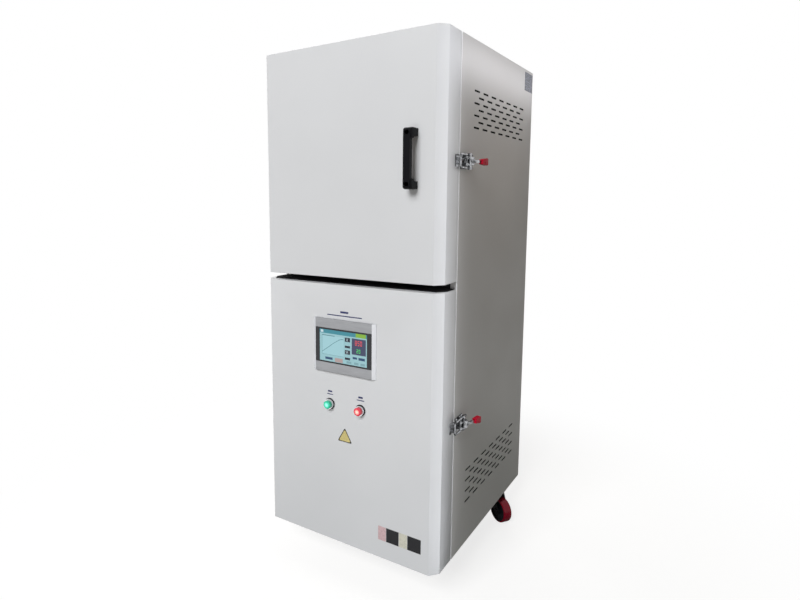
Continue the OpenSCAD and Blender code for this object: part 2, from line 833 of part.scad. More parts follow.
// Upper halves of two hinges on a door
module door_hinges(z0, h) {
    half_h = hinge_h / 2;
    color(zinc) place() for (z = hinge_z(z0, h)) translate([0, 0, z]) difference() {
        union() {
            translate([hinge_x, hinge_y, half_h]) cylinder(r = knuckle_r, h = half_h);
            box([-half_w - leaf_t, door_t - leaf_l, half_h], [-half_w, hinge_y, hinge_h]);
            box([-half_w - leaf_t, door_t - leaf_l, 0], [-half_w, door_t - knuckle_r, hinge_h]);
        }
        translate([hinge_x, hinge_y, 0]) cylinder(r = hinge_pin_r + run_clear, h = hinge_h - hinge_cap);
    }
}

module upper_door_hinges() {
    door_hinges(upper_door_z, upper_door_h);
}

module lower_door_hinges() {
    door_hinges(0, lower_door_h);
}

// Outline of a door seen from above, drawn in by inset on every outer face
module door_outline(inset) {
    turn = atan2(chamfer_y, chamfer_x);
    front_x = half_w - chamfer_x - inset * tan(turn / 2);
    side_y = chamfer_y + inset * tan((90 - turn) / 2);
    side_x = half_w - inset;
    polygon([[-side_x, door_t], [-side_x, side_y], [-front_x, inset],
        [front_x, inset], [side_x, side_y], [side_x, door_t]]);
}

// Folded door pan, open at the back
module door_shell(z0, h) {
    translate([0, 0, z0]) difference() {
        linear_extrude(h) door_outline(0);
        translate([0, 0, sheet_t]) linear_extrude(h - 2 * sheet_t) door_outline(sheet_t);
        box([-half_w + sheet_t, door_t - cut, sheet_t], [half_w - sheet_t, door_t + cut, h - sheet_t]);
    }
}

module upper_door_shell() {
    color(door_grey) place() difference() {
        door_shell(upper_door_z, upper_door_h);
        for (side = [-1, 1])
            rod_y(handle_x, chamber_z + side * handle_pitch / 2, screw_r + fit_clear, -cut, 2 * sheet_t);
    }
}

// Back plate of the upper door around the insulation pad
module upper_door_back() {
    edge = sheet_t + fit_clear;
    color(zinc) place() difference() {
        wide_box(half_w - edge, door_t - sheet_t, door_t,
            upper_door_z + edge, upper_door_z + upper_door_h - edge);
        wide_box(mouth_w / 2, door_t - 2 * sheet_t, door_t + cut,
            chamber_z - mouth_h / 2, chamber_z + mouth_h / 2);
    }
}

// Door insulation: the filling, the pad that meets the mouth and the tapered plug
module upper_door_insulation() {
    fill_y0 = chamfer_y + sheet_t + fill_gap;
    pad_w = mouth_w - 2 * pad_clear;
    pad_h = mouth_h - 2 * pad_clear;
    plug_w = chamber_w - 2 * plug_clear;
    plug_h = chamber_h - 2 * plug_clear;
    edge = sheet_t + fit_clear;
    color(fibre) place() {
        wide_box(half_w - edge, fill_y0, door_t - sheet_t,
            upper_door_z + edge, upper_door_z + upper_door_h - edge);
        wide_box(pad_w / 2, fill_y0, door_t + pad_reach, chamber_z - pad_h / 2, chamber_z + pad_h / 2);
        wide_box(plug_w / 2, fill_y0, frame_y0 + plug_reach, chamber_z - plug_h / 2, chamber_z + plug_h / 2);
    }
}

// Seal frame on the back of a door
module door_seal(z0, h) {
    color(dark_steel) place() difference() {
        wide_box(half_w - seal_inset, door_t, door_t + seal_t, z0 + seal_inset, z0 + h - seal_inset);
        wide_box(half_w - seal_inset - seal_w, door_t - cut, door_t + seal_t + cut,
            z0 + seal_inset + seal_w, z0 + h - seal_inset - seal_w);
    }
}

module upper_door_seal() {
    door_seal(upper_door_z, upper_door_h);
}

module lower_door_seal() {
    door_seal(0, lower_door_h);
}

// Bridge handle: two wide feet, curved necks and a narrower grip bar
module upper_door_handle() {
    color(black) place() translate([handle_x, 0, chamber_z]) difference() {
        intersection() {
            rotate([90, 0, 90]) translate([0, 0, -handle_foot / 2]) linear_extrude(handle_foot)
                handle_profile();
            union() {
                for (side = [-1, 1]) translate([0, 0, side * handle_pitch / 2])
                    wide_box(handle_foot / 2, -handle_out + handle_step, cut,
                        -handle_foot / 2 - cut, handle_foot / 2 + cut);
                wide_box(handle_bar_w / 2, -handle_out, cut, -handle_h, handle_h);
            }
        }
        for (side = [-1, 1]) {
            rod_y(0, side * handle_pitch / 2, screw_r + fit_clear, -handle_out - cut, cut);
            rod_y(0, side * handle_pitch / 2, screw_bore_r, -handle_out - cut, -screw_seat);
        }
    }
}

// Side view of the handle: a bar with rounded corners, hollowed between its feet
module handle_profile() {
    bar_y = -handle_out + handle_bar_t;
    difference() {
        union() {
            translate([-handle_out, -handle_h / 2 + handle_corner])
                square([handle_out, handle_h - 2 * handle_corner]);
            translate([-handle_out + handle_corner, -handle_h / 2])
                square([handle_out - handle_corner, handle_h]);
            for (side = [-1, 1])
                translate([-handle_out + handle_corner, side * (handle_h / 2 - handle_corner)])
                    circle(r = handle_corner);
        }
        translate([bar_y, -handle_inner + neck_r]) square([handle_out, 2 * (handle_inner - neck_r)]);
        translate([bar_y + neck_r, -handle_inner]) square([handle_out, 2 * handle_inner]);
        for (side = [-1, 1]) translate([bar_y + neck_r, side * (handle_inner - neck_r)]) circle(r = neck_r);
    }
}

// Cap screws that hold the handle, with their nuts behind the door skin
module handle_screws() {
    head_y = -screw_seat - screw_head_t;
    color(dark_steel) place() for (side = [-1, 1]) {
        z = chamber_z + side * handle_pitch / 2;
        difference() {
            union() {
                rod_y(handle_x, z, screw_head_r, head_y, -screw_seat);
                rod_y(handle_x, z, screw_r, -screw_seat - cut, chamfer_y);
            }
            translate([handle_x, head_y - cut, z]) rotate([-90, 0, 0])
                cylinder(r = socket_r, h = socket_t + cut, $fn = 6);
        }
        difference() {
            translate([handle_x, sheet_t, z]) rotate([-90, 0, 0]) cylinder(r = nut_r, h = nut_t, $fn = 6);
            rod_y(handle_x, z, screw_r + seat_clear, 0, chamfer_y);
        }
    }
}

// Catch on a door's right side: a screwed plate with a ribbed lip that the hook pulls on
module door_catch(z) {
    color(chrome) place() translate([half_w, catch_y, z]) {
        box([0, catch_plate[0], -catch_w / 2 - catch_edge],
            [catch_t, catch_plate[1], catch_w / 2 + catch_edge]);
        box([0, -catch_t / 2, -catch_w / 2], [catch_out, catch_t / 2, catch_w / 2]);
        catch_rib();
    }
}

// Rib that stiffens the catch's lip
module catch_rib() {
    translate([0, 0, -catch_rib_t / 2]) linear_extrude(catch_rib_t)
        polygon([[0, 0], [catch_out - 2, 0], [catch_t, catch_rib_l], [0, catch_rib_l]]);
}

module upper_door_catch() {
    door_catch(upper_clamp_z);
}

module lower_door_catch() {
    door_catch(lower_clamp_z);
}

// Lower door: pan with the cut-outs of the control panel
module lower_door_shell() {
    color(door_grey) place() difference() {
        door_shell(0, lower_door_h);
        translate([panel_x, 0, panel_z])
            wide_box(panel_front_w / 2, -cut, 2 * sheet_t, -panel_cut_h / 2, panel_cut_h / 2);
        for (x = button_x) rod_y(x, button_z, button_hole_r, -cut, 2 * sheet_t);
    }
}

// Back plate of the lower door, open behind the control panel for wiring
module lower_door_back() {
    edge = sheet_t + fit_clear;
    color(zinc) place() difference() {
        wide_box(half_w - edge, door_t - sheet_t, door_t, edge, lower_door_h - edge);
        wide_box(panel_w / 2 + service_side, door_t - 2 * sheet_t, door_t + cut,
            button_z - service_bottom, panel_z + panel_h / 2 + service_top);
    }
}

// Frame and case of the operator panel; its sides slope, its top and bottom are flat bands
module operator_panel_frame() {
    color(zinc) place() translate([panel_x, 0, panel_z]) difference() {
        union() {
            translate([0, 0, -panel_h / 2]) linear_extrude(panel_h)
                polygon([[-panel_w / 2, 0], [-panel_w / 2, -panel_edge], [-panel_front_w / 2, -panel_t],
                    [panel_front_w / 2, -panel_t], [panel_w / 2, -panel_edge], [panel_w / 2, 0]]);
            wide_box(panel_front_w / 2 - fit_clear, -cut, panel_case_d,
                -panel_cut_h / 2 + fit_clear, panel_cut_h / 2 - fit_clear);
        }
        wide_box(panel_front_w / 2, -panel_t - cut, -panel_t + glass_t, -glass_h / 2, glass_h / 2);
    }
}

module operator_panel_glass() {
    color(black) place() translate([panel_x, 0, panel_z])
        wide_box(panel_front_w / 2 - fit_clear, -panel_t, -panel_t + glass_t,
            -glass_h / 2 + fit_clear, glass_h / 2 - fit_clear);
}

// Chrome rings around the lenses of the push buttons
module button_rings() {
    color(chrome) place() for (x = button_x) difference() {
        rod_y(x, button_z, ring_r, -washer_t - ring_t, -washer_t);
        rod_y(x, button_z, lens_r + run_clear, -washer_t - ring_t - cut, -washer_t + cut);
    }
}

// Fixed black parts of the buttons: the washer in front and the contact block behind
module button_bodies() {
    block_end = stem_end + button_travel + block_wall;
    color(black) place() for (x = button_x) difference() {
        union() {
            rod_y(x, button_z, washer_r, -washer_t, 0);
            rod_y(x, button_z, button_hole_r - run_clear, -cut, sheet_t + cut);
            translate([x, 0, button_z]) wide_box(block_half, sheet_t, block_end, -block_half, block_half);
        }
        rod_y(x, button_z, stem_r + run_clear, -washer_t - cut, stem_end + button_travel + stem_space);
    }
}

// Moving part of a push button: a slightly domed lens on its stem
module push_button(x) {
    back = washer_t + button_travel + lens_space;
    translate([x, 0, button_z]) rotate([90, 0, 0]) rotate_extrude()
        polygon([[0, -stem_end], [stem_r, -stem_end], [stem_r, back], [lens_r, back],
            [lens_r, lens_out - lens_dome], [lens_r - lens_dome, lens_out - lens_dome / 4],
            [lens_r / 2, lens_out - lens_dome / 20], [0, lens_out]]);
}

module green_button() {
    color(green) place() push_button(button_x[0]);
}

module red_button() {
    color(red) place() push_button(button_x[1]);
}

// Clamp brackets on the right side panel with the lever pins
module clamp_bases() {
    color(chrome) place() for (z = [upper_clamp_z, lower_clamp_z]) translate([half_w, 0, z]) {
        difference() {
            union() {
                box([0, base_y0, -base_z / 2], [base_t, base_y0 + base_l, base_z / 2]);
                for (side = [-1, 1]) translate([0, clamp_y, side * (ear_z + ear_t / 2)]) {
                    translate([hook_x, 0, 0]) cylinder(r = ear_half, h = ear_t, center = true);
                    translate([hook_x / 2, 0, 0]) cube([hook_x, 2 * ear_half, ear_t], center = true);
                }
            }
            translate([hook_x, clamp_y, 0]) cylinder(r = pin_r + seat_clear, h = base_z, center = true);
            for (hole_y = [base_y0 + base_screw_y, base_y0 + base_l - base_screw_y], side = [-1, 1])
                translate([-cut, hole_y, side * (base_z / 2 - base_screw_z)]) rotate([0, 90, 0])
                    cylinder(r = base_screw_r, h = base_t + 2 * cut);
        }
        pin_half = cheek_z + cheek_t + 1;
        translate([hook_x, clamp_y, 0]) cylinder(r = pin_r, h = 2 * pin_half, center = true);
        for (side = [-1, 1]) translate([hook_x, clamp_y, side * (pin_half + pin_head / 2)])
            cylinder(r = pin_r + 1, h = pin_head, center = true);
    }
}

// Turns the lever's own axes (u along the lever, v away from the panel) into place
module lever_frame(z) {
    translate([half_w + hook_x, clamp_y, z]) rotate([0, 0, 90 - lever_angle]) mirror([0, 1, 0]) children();
}

// Stamped lever: two cheeks, a web over them and a strap that carries the grip
module clamp_lever(z) {
    color(chrome) place() lever_frame(z) {
        for (side = [0, 1]) mirror([0, 0, side]) translate([0, 0, cheek_z]) linear_extrude(cheek_t)
            lever_cheek();
        box([web_u, web_v, -cheek_z - cheek_t], [web_end, web_v + cheek_t, cheek_z + cheek_t]);
        box([web_end - cut, strap_v0, -strap_half], [lever_l - strap_in, web_v + cheek_t, strap_half]);
    }
}

// Outline of a cheek, with the holes for the pin and for the hook's trunnion
module lever_cheek() {
    tu = crank_r * cos(lever_angle);
    tv = -crank_r * sin(lever_angle);
    lobe = trunnion_r + lobe_wall;
    difference() {
        union() {
            circle(r = web_v);
            translate([tu, tv]) circle(r = lobe);
            polygon([[-2, -web_v + 1], [tu, tv - lobe], [tu + lobe, tv], [web_end, web_v - 2],
                [web_end, web_v + cheek_t], [web_u, web_v + cheek_t], [0, web_v]]);
        }
        circle(r = pin_r + run_clear);
        translate([tu, tv]) circle(r = trunnion_r + run_clear);
    }
}

// Flared plastic grip on the lever's strap
module clamp_grip(z) {
    start = lever_l - grip_l;
    tip = lever_l - grip_tip;
    wide = lever_l - grip_flare;
    color(red) place() lever_frame(z) difference() {
        translate([0, grip_v1, 0]) rotate([90, 0, 0]) linear_extrude(grip_v1 - grip_v0)
            polygon([[start, -grip_half0], [wide, -grip_half1], [tip, -grip_half1],
                [lever_l, -grip_half1 + grip_tip], [lever_l, grip_half1 - grip_tip], [tip, grip_half1],
                [wide, grip_half1], [start, grip_half0]]);
        box([start - cut, strap_v0, -strap_half], [lever_l - strap_in, web_v + cheek_t, strap_half]);
    }
}

// Hook: a threaded U-bolt, the trunnion bar it passes through, and its nuts
module clamp_hook(z) {
    rod_z = rod_spacing / 2;
    bend_y = catch_y + hook_bend;
    rod_end = trunnion_y + trunnion_r + hook_thread;
    bar_l = rod_spacing + 2 * (rod_r + bar_end);
    color(chrome) place() translate([half_w + hook_x, 0, z]) {
        for (side = [-1, 1]) {
            rod_y(0, side * rod_z, rod_r, bend_y, rod_end);
            translate([0, bend_y, side * (rod_z - hook_bend)]) rotate([0, -90, 0])
                rotate([0, 0, side < 0 ? 180 : 270])
                    rotate_extrude(angle = 90) translate([hook_bend, 0]) circle(r = rod_r, $fn = 24);
        }
        translate([0, catch_y, 0]) cylinder(r = rod_r, h = 2 * (rod_z - hook_bend), center = true);
        difference() {
            translate([0, trunnion_y, 0]) cylinder(r = trunnion_r, h = bar_l, center = true);
            for (side = [-1, 1]) rod_y(0, side * rod_z, rod_r + seat_clear, catch_y, rod_end);
        }
        for (side = [-1, 1], nut_y = [trunnion_y - trunnion_r - hook_nut_t, trunnion_y + trunnion_r])
            difference() {
                translate([0, nut_y, side * rod_z]) rotate([-90, 0, 0])
                    cylinder(r = hook_nut_r, h = hook_nut_t, $fn = 6);
                rod_y(0, side * rod_z, rod_r + seat_clear, catch_y, rod_end);
            }
    }
}

module upper_clamp_lever() {
    clamp_lever(upper_clamp_z);
}

module upper_clamp_grip() {
    clamp_grip(upper_clamp_z);
}

module upper_clamp_hook() {
    clamp_hook(upper_clamp_z);
}

module lower_clamp_lever() {
    clamp_lever(lower_clamp_z);
}

module lower_clamp_grip() {
    clamp_grip(lower_clamp_z);
}

module lower_clamp_hook() {
    clamp_hook(lower_clamp_z);
}

// Castor top plates with their bearing races and king pins
module castor_plates() {
    pin_end = -plate_t - race_t - crown_t - fit_clear;
    hole_x = plate_x / 2 - plate_hole_in;
    hole_y = plate_y / 2 - plate_hole_in;
    color(black) place() for (side = [-1, 1], row = [0, 1])
        translate([side * castor_row_x[row], castor_row_y[row], 0]) {
            difference() {
                box([-plate_x / 2, -plate_y / 2, -plate_t], [plate_x / 2, plate_y / 2, 0]);
                for (x = [-hole_x, hole_x], y = [-hole_y, hole_y]) translate([x, y, -plate_t - cut])
                    cylinder(r = plate_hole_r, h = plate_t + 2 * cut);
            }
            translate([0, 0, -plate_t - race_t + fit_clear]) cylinder(r = race_r, h = race_t - fit_clear);
            translate([0, 0, pin_end]) cylinder(r = kingpin_r, h = -pin_end);
            translate([0, 0, pin_end - pin_cap]) cylinder(r = kingpin_r + pin_cap, h = pin_cap);
        }
}

// Pressed fork with its axle bolt; the wheel trails in the direction yaw
module castor_fork(x, y, yaw) {
    crown_top = -plate_t - race_t;
    axle_z = -castor_h + wheel_r;
    cheek_y = tread_w / 2 + cheek_gap;
    crown_r = race_r + 2;
    color(black) place() translate([x, y, 0]) rotate([0, 0, yaw]) {
        difference() {
            union() {
                translate([0, 0, crown_top - crown_t]) cylinder(r = crown_r, h = crown_t);
                for (side = [-1, 1]) fork_cheek(side, cheek_y, crown_top, axle_z, crown_r);
            }
            translate([0, 0, crown_top - 2 * crown_t]) cylinder(r = kingpin_r + run_clear, h = 3 * crown_t);
            translate([trail, 0, axle_z]) rotate([90, 0, 0])
                cylinder(r = axle_r + seat_clear, h = 4 * cheek_y, center = true);
        }
        translate([trail, 0, axle_z]) rotate([90, 0, 0]) {
            cylinder(r = axle_r, h = 2 * (cheek_y + fork_t + axle_end), center = true);
            for (side = [-1, 1])
                translate([0, 0, side * (cheek_y + fork_t + axle_nut_t / 2 + seat_clear)])
                    cylinder(r = axle_nut_r, h = axle_nut_t, center = true, $fn = 6);
        }
    }
}

// One side of the fork, swept from the crown back to the axle
module fork_cheek(side, cheek_y, crown_top, axle_z, crown_r) {
    y0 = side > 0 ? cheek_y : -cheek_y - fork_t;
    crown_x = 0.75 * crown_r;
    translate([0, y0 + fork_t, 0]) rotate([90, 0, 0]) linear_extrude(fork_t) union() {
        polygon([[-crown_x, crown_top], [crown_x, crown_top], [trail + fork_eye_r, axle_z + 4],
            [trail + 8, axle_z - 8], [trail - 9, axle_z - 6], [-crown_x, crown_top - 12]]);
        translate([trail, axle_z]) circle(r = fork_eye_r);
    }
}

module front_left_fork() {
    castor_fork(-front_castor_x, castor_front_y, front_left_yaw);
}

module front_right_fork() {
    castor_fork(front_castor_x, castor_front_y, front_right_yaw);
}

module rear_left_fork() {
    castor_fork(-rear_castor_x, castor_rear_y, rear_left_yaw);
}

module rear_right_fork() {
    castor_fork(rear_castor_x, castor_rear_y, rear_right_yaw);
}

// Puts a wheel's parts on its fork's axle, with the wheel's axis along Z
module wheel_place(x, y, yaw) {
    place() translate([x, y, -castor_h + wheel_r]) rotate([0, 0, yaw]) translate([trail, 0, 0])
        rotate([90, 0, 0]) children();
}

// Dished hub with a boss around its bore
module wheel_hub(x, y, yaw) {
    half = tread_w / 2;
    color(black) wheel_place(x, y, yaw) rotate_extrude() difference() {
        translate([axle_r + run_clear, -half]) square([hub_r - axle_r - run_clear, tread_w]);
        for (side = [-1, 1]) translate([hub_boss_r, side > 0 ? half - hub_dish : -half - cut])
            square([hub_r - hub_boss_r - hub_rim, hub_dish + cut]);
    }
}

// Tread ring with rounded shoulders
module wheel_tread(x, y, yaw) {
    half = tread_w / 2;
    flat = half - tread_round;
    inner = hub_r + fit_clear;
    color(red) wheel_place(x, y, yaw) rotate_extrude() intersection() {
        translate([inner, -half]) square([wheel_r - inner, tread_w]);
        union() {
            translate([inner, -half]) square([wheel_r - tread_round - inner, tread_w]);
            translate([inner, -flat]) square([wheel_r - inner, 2 * flat]);
            for (side = [-1, 1]) translate([wheel_r - tread_round, side * flat]) circle(r = tread_round);
        }
    }
}

module front_left_hub() {
    wheel_hub(-front_castor_x, castor_front_y, front_left_yaw);
}

module front_left_tread() {
    wheel_tread(-front_castor_x, castor_front_y, front_left_yaw);
}

module front_right_hub() {
    wheel_hub(front_castor_x, castor_front_y, front_right_yaw);
}

module front_right_tread() {
    wheel_tread(front_castor_x, castor_front_y, front_right_yaw);
}

module rear_left_hub() {
    wheel_hub(-rear_castor_x, castor_rear_y, rear_left_yaw);
}

module rear_left_tread() {
    wheel_tread(-rear_castor_x, castor_rear_y, rear_left_yaw);
}

module rear_right_hub() {
    wheel_hub(rear_castor_x, castor_rear_y, rear_right_yaw);
}

module rear_right_tread() {
    wheel_tread(rear_castor_x, castor_rear_y, rear_right_yaw);
}

frame_angles();
left_side_panel();
right_side_panel();
top_panel();
bottom_panel();
rear_panel();
front_fascia();
divider_shelf();
inner_case();
chamber_insulation();
hearth_plate();
heating_elements();
element_holders();
thermocouple();
exhaust_flue();
cable_gland();
mounting_plate();
transformer();
power_regulator();
rail_devices();
cabinet_hinges();
clamp_bases();
castor_plates();
upper_door_shell();
upper_door_back();
upper_door_insulation();
upper_door_seal();
upper_door_hinges();
upper_door_handle();
handle_screws();
upper_door_catch();
lower_door_shell();
lower_door_back();
lower_door_seal();
lower_door_hinges();
lower_door_catch();
operator_panel_frame();
operator_panel_glass();
button_rings();
button_bodies();
green_button();
red_button();
upper_clamp_lever();
upper_clamp_grip();
upper_clamp_hook();
lower_clamp_lever();
lower_clamp_grip();
lower_clamp_hook();
front_left_fork();
front_left_hub();
front_left_tread();
front_right_fork();
front_right_hub();
front_right_tread();
rear_left_fork();
rear_left_hub();
rear_left_tread();
rear_right_fork();
rear_right_hub();
rear_right_tread();
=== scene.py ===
import json
import math
import bmesh
import bpy
from mathutils import Matrix, Vector

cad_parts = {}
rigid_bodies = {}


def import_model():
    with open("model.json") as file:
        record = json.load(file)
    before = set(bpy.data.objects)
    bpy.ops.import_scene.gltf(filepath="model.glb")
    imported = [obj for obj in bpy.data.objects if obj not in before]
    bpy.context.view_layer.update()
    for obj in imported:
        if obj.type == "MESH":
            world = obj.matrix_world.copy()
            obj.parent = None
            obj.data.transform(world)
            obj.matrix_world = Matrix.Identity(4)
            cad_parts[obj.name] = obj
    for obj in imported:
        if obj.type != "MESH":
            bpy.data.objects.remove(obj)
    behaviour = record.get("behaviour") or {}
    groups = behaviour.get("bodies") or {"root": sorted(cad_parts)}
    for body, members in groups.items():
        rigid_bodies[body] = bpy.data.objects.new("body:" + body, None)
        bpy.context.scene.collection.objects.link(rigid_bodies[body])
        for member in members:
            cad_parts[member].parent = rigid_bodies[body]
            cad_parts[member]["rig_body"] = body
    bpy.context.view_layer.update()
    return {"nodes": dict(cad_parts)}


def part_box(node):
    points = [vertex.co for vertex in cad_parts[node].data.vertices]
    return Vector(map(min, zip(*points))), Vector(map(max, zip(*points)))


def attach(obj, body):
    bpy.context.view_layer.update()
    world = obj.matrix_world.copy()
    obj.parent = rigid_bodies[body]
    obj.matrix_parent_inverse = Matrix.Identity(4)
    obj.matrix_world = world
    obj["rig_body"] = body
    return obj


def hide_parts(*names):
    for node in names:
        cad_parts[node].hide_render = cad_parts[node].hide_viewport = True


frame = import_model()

# Door pans
# The two doors are folded from 2 mm steel sheet with chamfered upright edges and
# powder coated light grey: a fine orange peel, soft folds and a slight satin gloss.
door_low, door_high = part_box("lower_door_shell")
middle_x = (door_low[0] + door_high[0]) / 2
front_y = door_low[1]
underside_z = door_low[2]
half_width = (door_high[0] - door_low[0]) / 2 * 1000
outer_radius = 0.9
merge_distance = 1e-6
flat_angle, sharp_angle, wide_segments = 0.5, 32, 6


def at(x, y, z):
    """A place in millimetres from the middle of the closed doors' front, at their underside."""
    return Vector((middle_x + x / 1000, front_y + y / 1000, underside_z + z / 1000))


def made_node(tree, kind, **values):
    """A new node with its inputs and settings given by name."""
    made = tree.nodes.new(kind)
    for key, value in values.items():
        if key in made.inputs:
            made.inputs[key].default_value = value
        else:
            setattr(made, key, value)
    return made


def finish(name, colour, roughness, metallic=0.0):
    """A material with its nodes and shader; its patterns are placed by object coordinates."""
    material = bpy.data.materials.new(name)
    material.use_nodes = True
    tree = material.node_tree
    shader = tree.nodes["Principled BSDF"]
    shader.inputs["Base Color"].default_value = (*colour, 1)
    shader.inputs["Roughness"].default_value = roughness
    shader.inputs["Metallic"].default_value = metallic
    made_node(tree, "ShaderNodeTexCoord").name = "place"
    return material, tree, shader


def pattern(tree, scale, detail=2.0, stretch=(1, 1, 1), roughness=0.5):
    mapping = made_node(tree, "ShaderNodeMapping", Scale=stretch)
    noise = made_node(tree, "ShaderNodeTexNoise", Scale=scale, Detail=detail, Roughness=roughness)
    tree.links.new(tree.nodes["place"].outputs["Object"], mapping.inputs["Vector"])
    tree.links.new(mapping.outputs["Vector"], noise.inputs["Vector"])
    return noise.outputs["Fac"]


def ramp(tree, factor, stops, target):
    """Turns a value into a colour between stops of position and colour."""
    colours = made_node(tree, "ShaderNodeValToRGB")
    band = colours.color_ramp
    while len(band.elements) < len(stops):
        band.elements.new(0.5)
    for element, (position, colour) in zip(band.elements, stops):
        element.position = position
        element.color = (*colour, 1)
    tree.links.new(factor, colours.inputs["Fac"])
    tree.links.new(colours.outputs["Color"], target)


def toned(tree, shader, factor, *stops):
    """Lets the base colour follow a value."""
    ramp(tree, factor, stops, shader.inputs["Base Color"])


def uneven_sheen(tree, shader, factor, low, high, start=0.3, end=0.7):
    """Lets the roughness follow a value, from low at its start to high at its end."""
    spread = made_node(tree, "ShaderNodeMapRange")
    spread.inputs["From Min"].default_value = start
    spread.inputs["From Max"].default_value = end
    spread.inputs["To Min"].default_value = low
    spread.inputs["To Max"].default_value = high
    tree.links.new(factor, spread.inputs["Value"])
    tree.links.new(spread.outputs["Result"], shader.inputs["Roughness"])


def bumps(tree, shader, factor, height, strength=1.0):
    bump = made_node(tree, "ShaderNodeBump", Distance=height, Strength=strength)
    tree.links.new(factor, bump.inputs["Height"])
    tree.links.new(bump.outputs["Normal"], shader.inputs["Normal"])


def shade(colour, factor):
    return tuple(channel * factor for channel in colour)


def powder_coat(name, colour, roughness, gloss=0.5):
    """Faint clouds of tone, uneven sheen and a fine orange peel under a thin clear coat."""
    material, tree, shader = finish(name, colour, roughness)
    shader.inputs["Specular IOR Level"].default_value = gloss
    toned(tree, shader, pattern(tree, 2.2, 3), (0.35, shade(colour, 0.97)), (0.65, shade(colour, 1.02)))
    uneven_sheen(tree, shader, pattern(tree, 9, 4), roughness - 0.05, roughness + 0.06)
    bumps(tree, shader, pattern(tree, 420, 1.5), 0.00012, 0.5)
    shader.inputs["Coat Weight"].default_value = 0.24 * gloss
    shader.inputs["Coat Roughness"].default_value = 0.2
    return material


def as_object(name, mesh, body):
    thing = bpy.data.objects.new(name, mesh)
    bpy.context.scene.collection.objects.link(thing)
    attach(thing, body)
    return thing


def from_shape(name, shape, body, slot_name, *materials):
    """A piece of the scene from a finished shape, riding a body."""
    mesh = bpy.data.meshes.new(name)
    shape.to_mesh(mesh)
    shape.free()
    for material in materials:
        mesh.materials.append(material)
    return as_object(name, mesh, body)


def rounded(shape, radius, chosen, segments, fold):
    """Rounds the chosen edges whose faces turn by more than the fold's angle."""
    edges = [e for e in shape.edges if len(e.link_faces) == 2
             and e.calc_face_angle() > math.radians(fold) and chosen(e)]
    bmesh.ops.bevel(shape, geom=edges, offset=radius / 1000, segments=segments, profile=0.5,
                    affect="EDGES", clamp_overlap=True)


def eased_copy(node, name, material, slot_name, radius, chosen, segments=3, fold=20, wide=None):
    """A copy of a CAD solid with the chosen edges rounded, shown instead of it."""
    body = frame["nodes"][node]["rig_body"]
    shape = bmesh.new()
    shape.from_mesh(frame["nodes"][node].data)
    bmesh.ops.remove_doubles(shape, verts=shape.verts, dist=merge_distance)
    bmesh.ops.dissolve_limit(shape, angle_limit=math.radians(flat_angle), verts=shape.verts,
                             edges=shape.edges)
    if wide:
        wide_radius, wide_edges = wide
        rounded(shape, wide_radius, wide_edges, wide_segments, fold)
    rounded(shape, radius, chosen, segments, fold)
    for face in shape.faces:
        face.smooth = True
    for edge in shape.edges:
        if len(edge.link_faces) == 2 and edge.calc_face_angle(0) > math.radians(sharp_angle):
            edge.smooth = False
    thing = from_shape(name, shape, body, slot_name, material)
    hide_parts(node)
    return thing


def folds_over(shortest):
    """Chooses the outward folds longer than a length in millimetres, not the rims of holes."""
    return lambda edge: edge.is_convex and edge.calc_length() > shortest / 1000


outer_folds = folds_over(50)
door_paint = powder_coat("powder_coat_door", (0.665, 0.668, 0.675), 0.36)
for name in ("upper_door", "lower_door"):
    eased_copy(f"{name}_shell", f"{name}_pan", door_paint, "door_paint", outer_radius, outer_folds)

# Side panels, roof, back, floor, fascia and frame
# Sheet steel panels in the same light grey powder coat, screwed to a dark angle frame;
# each side is punched with two fields of round-ended vent slots, the back with one.
# The round of each side's front fold is coloured near white as a painted highlight, the
# slots' rims are coloured near black as painted shade, and the fascia is coloured near
# black as painted shade in the gap between the doors.
side_paint = powder_coat("powder_coat_cabinet", (0.662, 0.650, 0.634), 0.48, 0.10)
# near black paint for the rims of the vent slots: painted shade inside the slots
slot_rim_shade_coat = powder_coat("slot_rims_painted_shade", (0.012, 0.012, 0.012), 0.6, 0.05)
# near white paint for the round of each side panel's front fold: a painted highlight
painted_highlight_coat = powder_coat("near_white_painted_highlight", (0.93, 0.93, 0.94), 0.3, 0.8)
front_radius = 2.6
hair = 0.0005
upright_length = 1.0
fold_depth, facing_front, facing_side = 0.004, 0.998, 0.12
slot_margin, rim_tilt = 0.05, 0.3
panel_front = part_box("right_side_panel")[0][1]


def front_fold(edge):
    """The upright outer folds at the front of the side panels."""
    middle = (edge.verts[0].co + edge.verts[1].co) / 2
    outside = abs(middle.x - middle_x) > half_width / 1000 - hair
    at_front = middle.y < panel_front + hair
    return outside and at_front and edge.calc_length() > upright_length and edge.is_convex


def in_painted_highlight(face):
    """The round of a front fold, coloured near white as a painted highlight beside the doors."""
    turned = -facing_front < face.normal.y < -facing_side
    return turned and face.center.y < panel_front + fold_depth


def repaint(thing, material, chosen):
    """Gives the chosen faces of a piece another material."""
    thing.data.materials.append(material)
    for face in thing.data.polygons:
        if chosen(face):
            face.material_index = len(thing.data.materials) - 1


def in_slot(face, low, high, through):
    """Whether a face is the rim of a hole that is punched along one axis of a panel."""
    well_inside = all(low[axis] + slot_margin < face.center[axis] < high[axis] - slot_margin
                      for axis in range(3) if axis != through)
    return abs(face.normal[through]) < rim_tilt and well_inside


def dress(material, *nodes):
    """Gives CAD solids that are shown as they are their material."""
    for node in nodes:
        mesh = frame["nodes"][node].data
        mesh.materials.clear()
        mesh.materials.append(material)


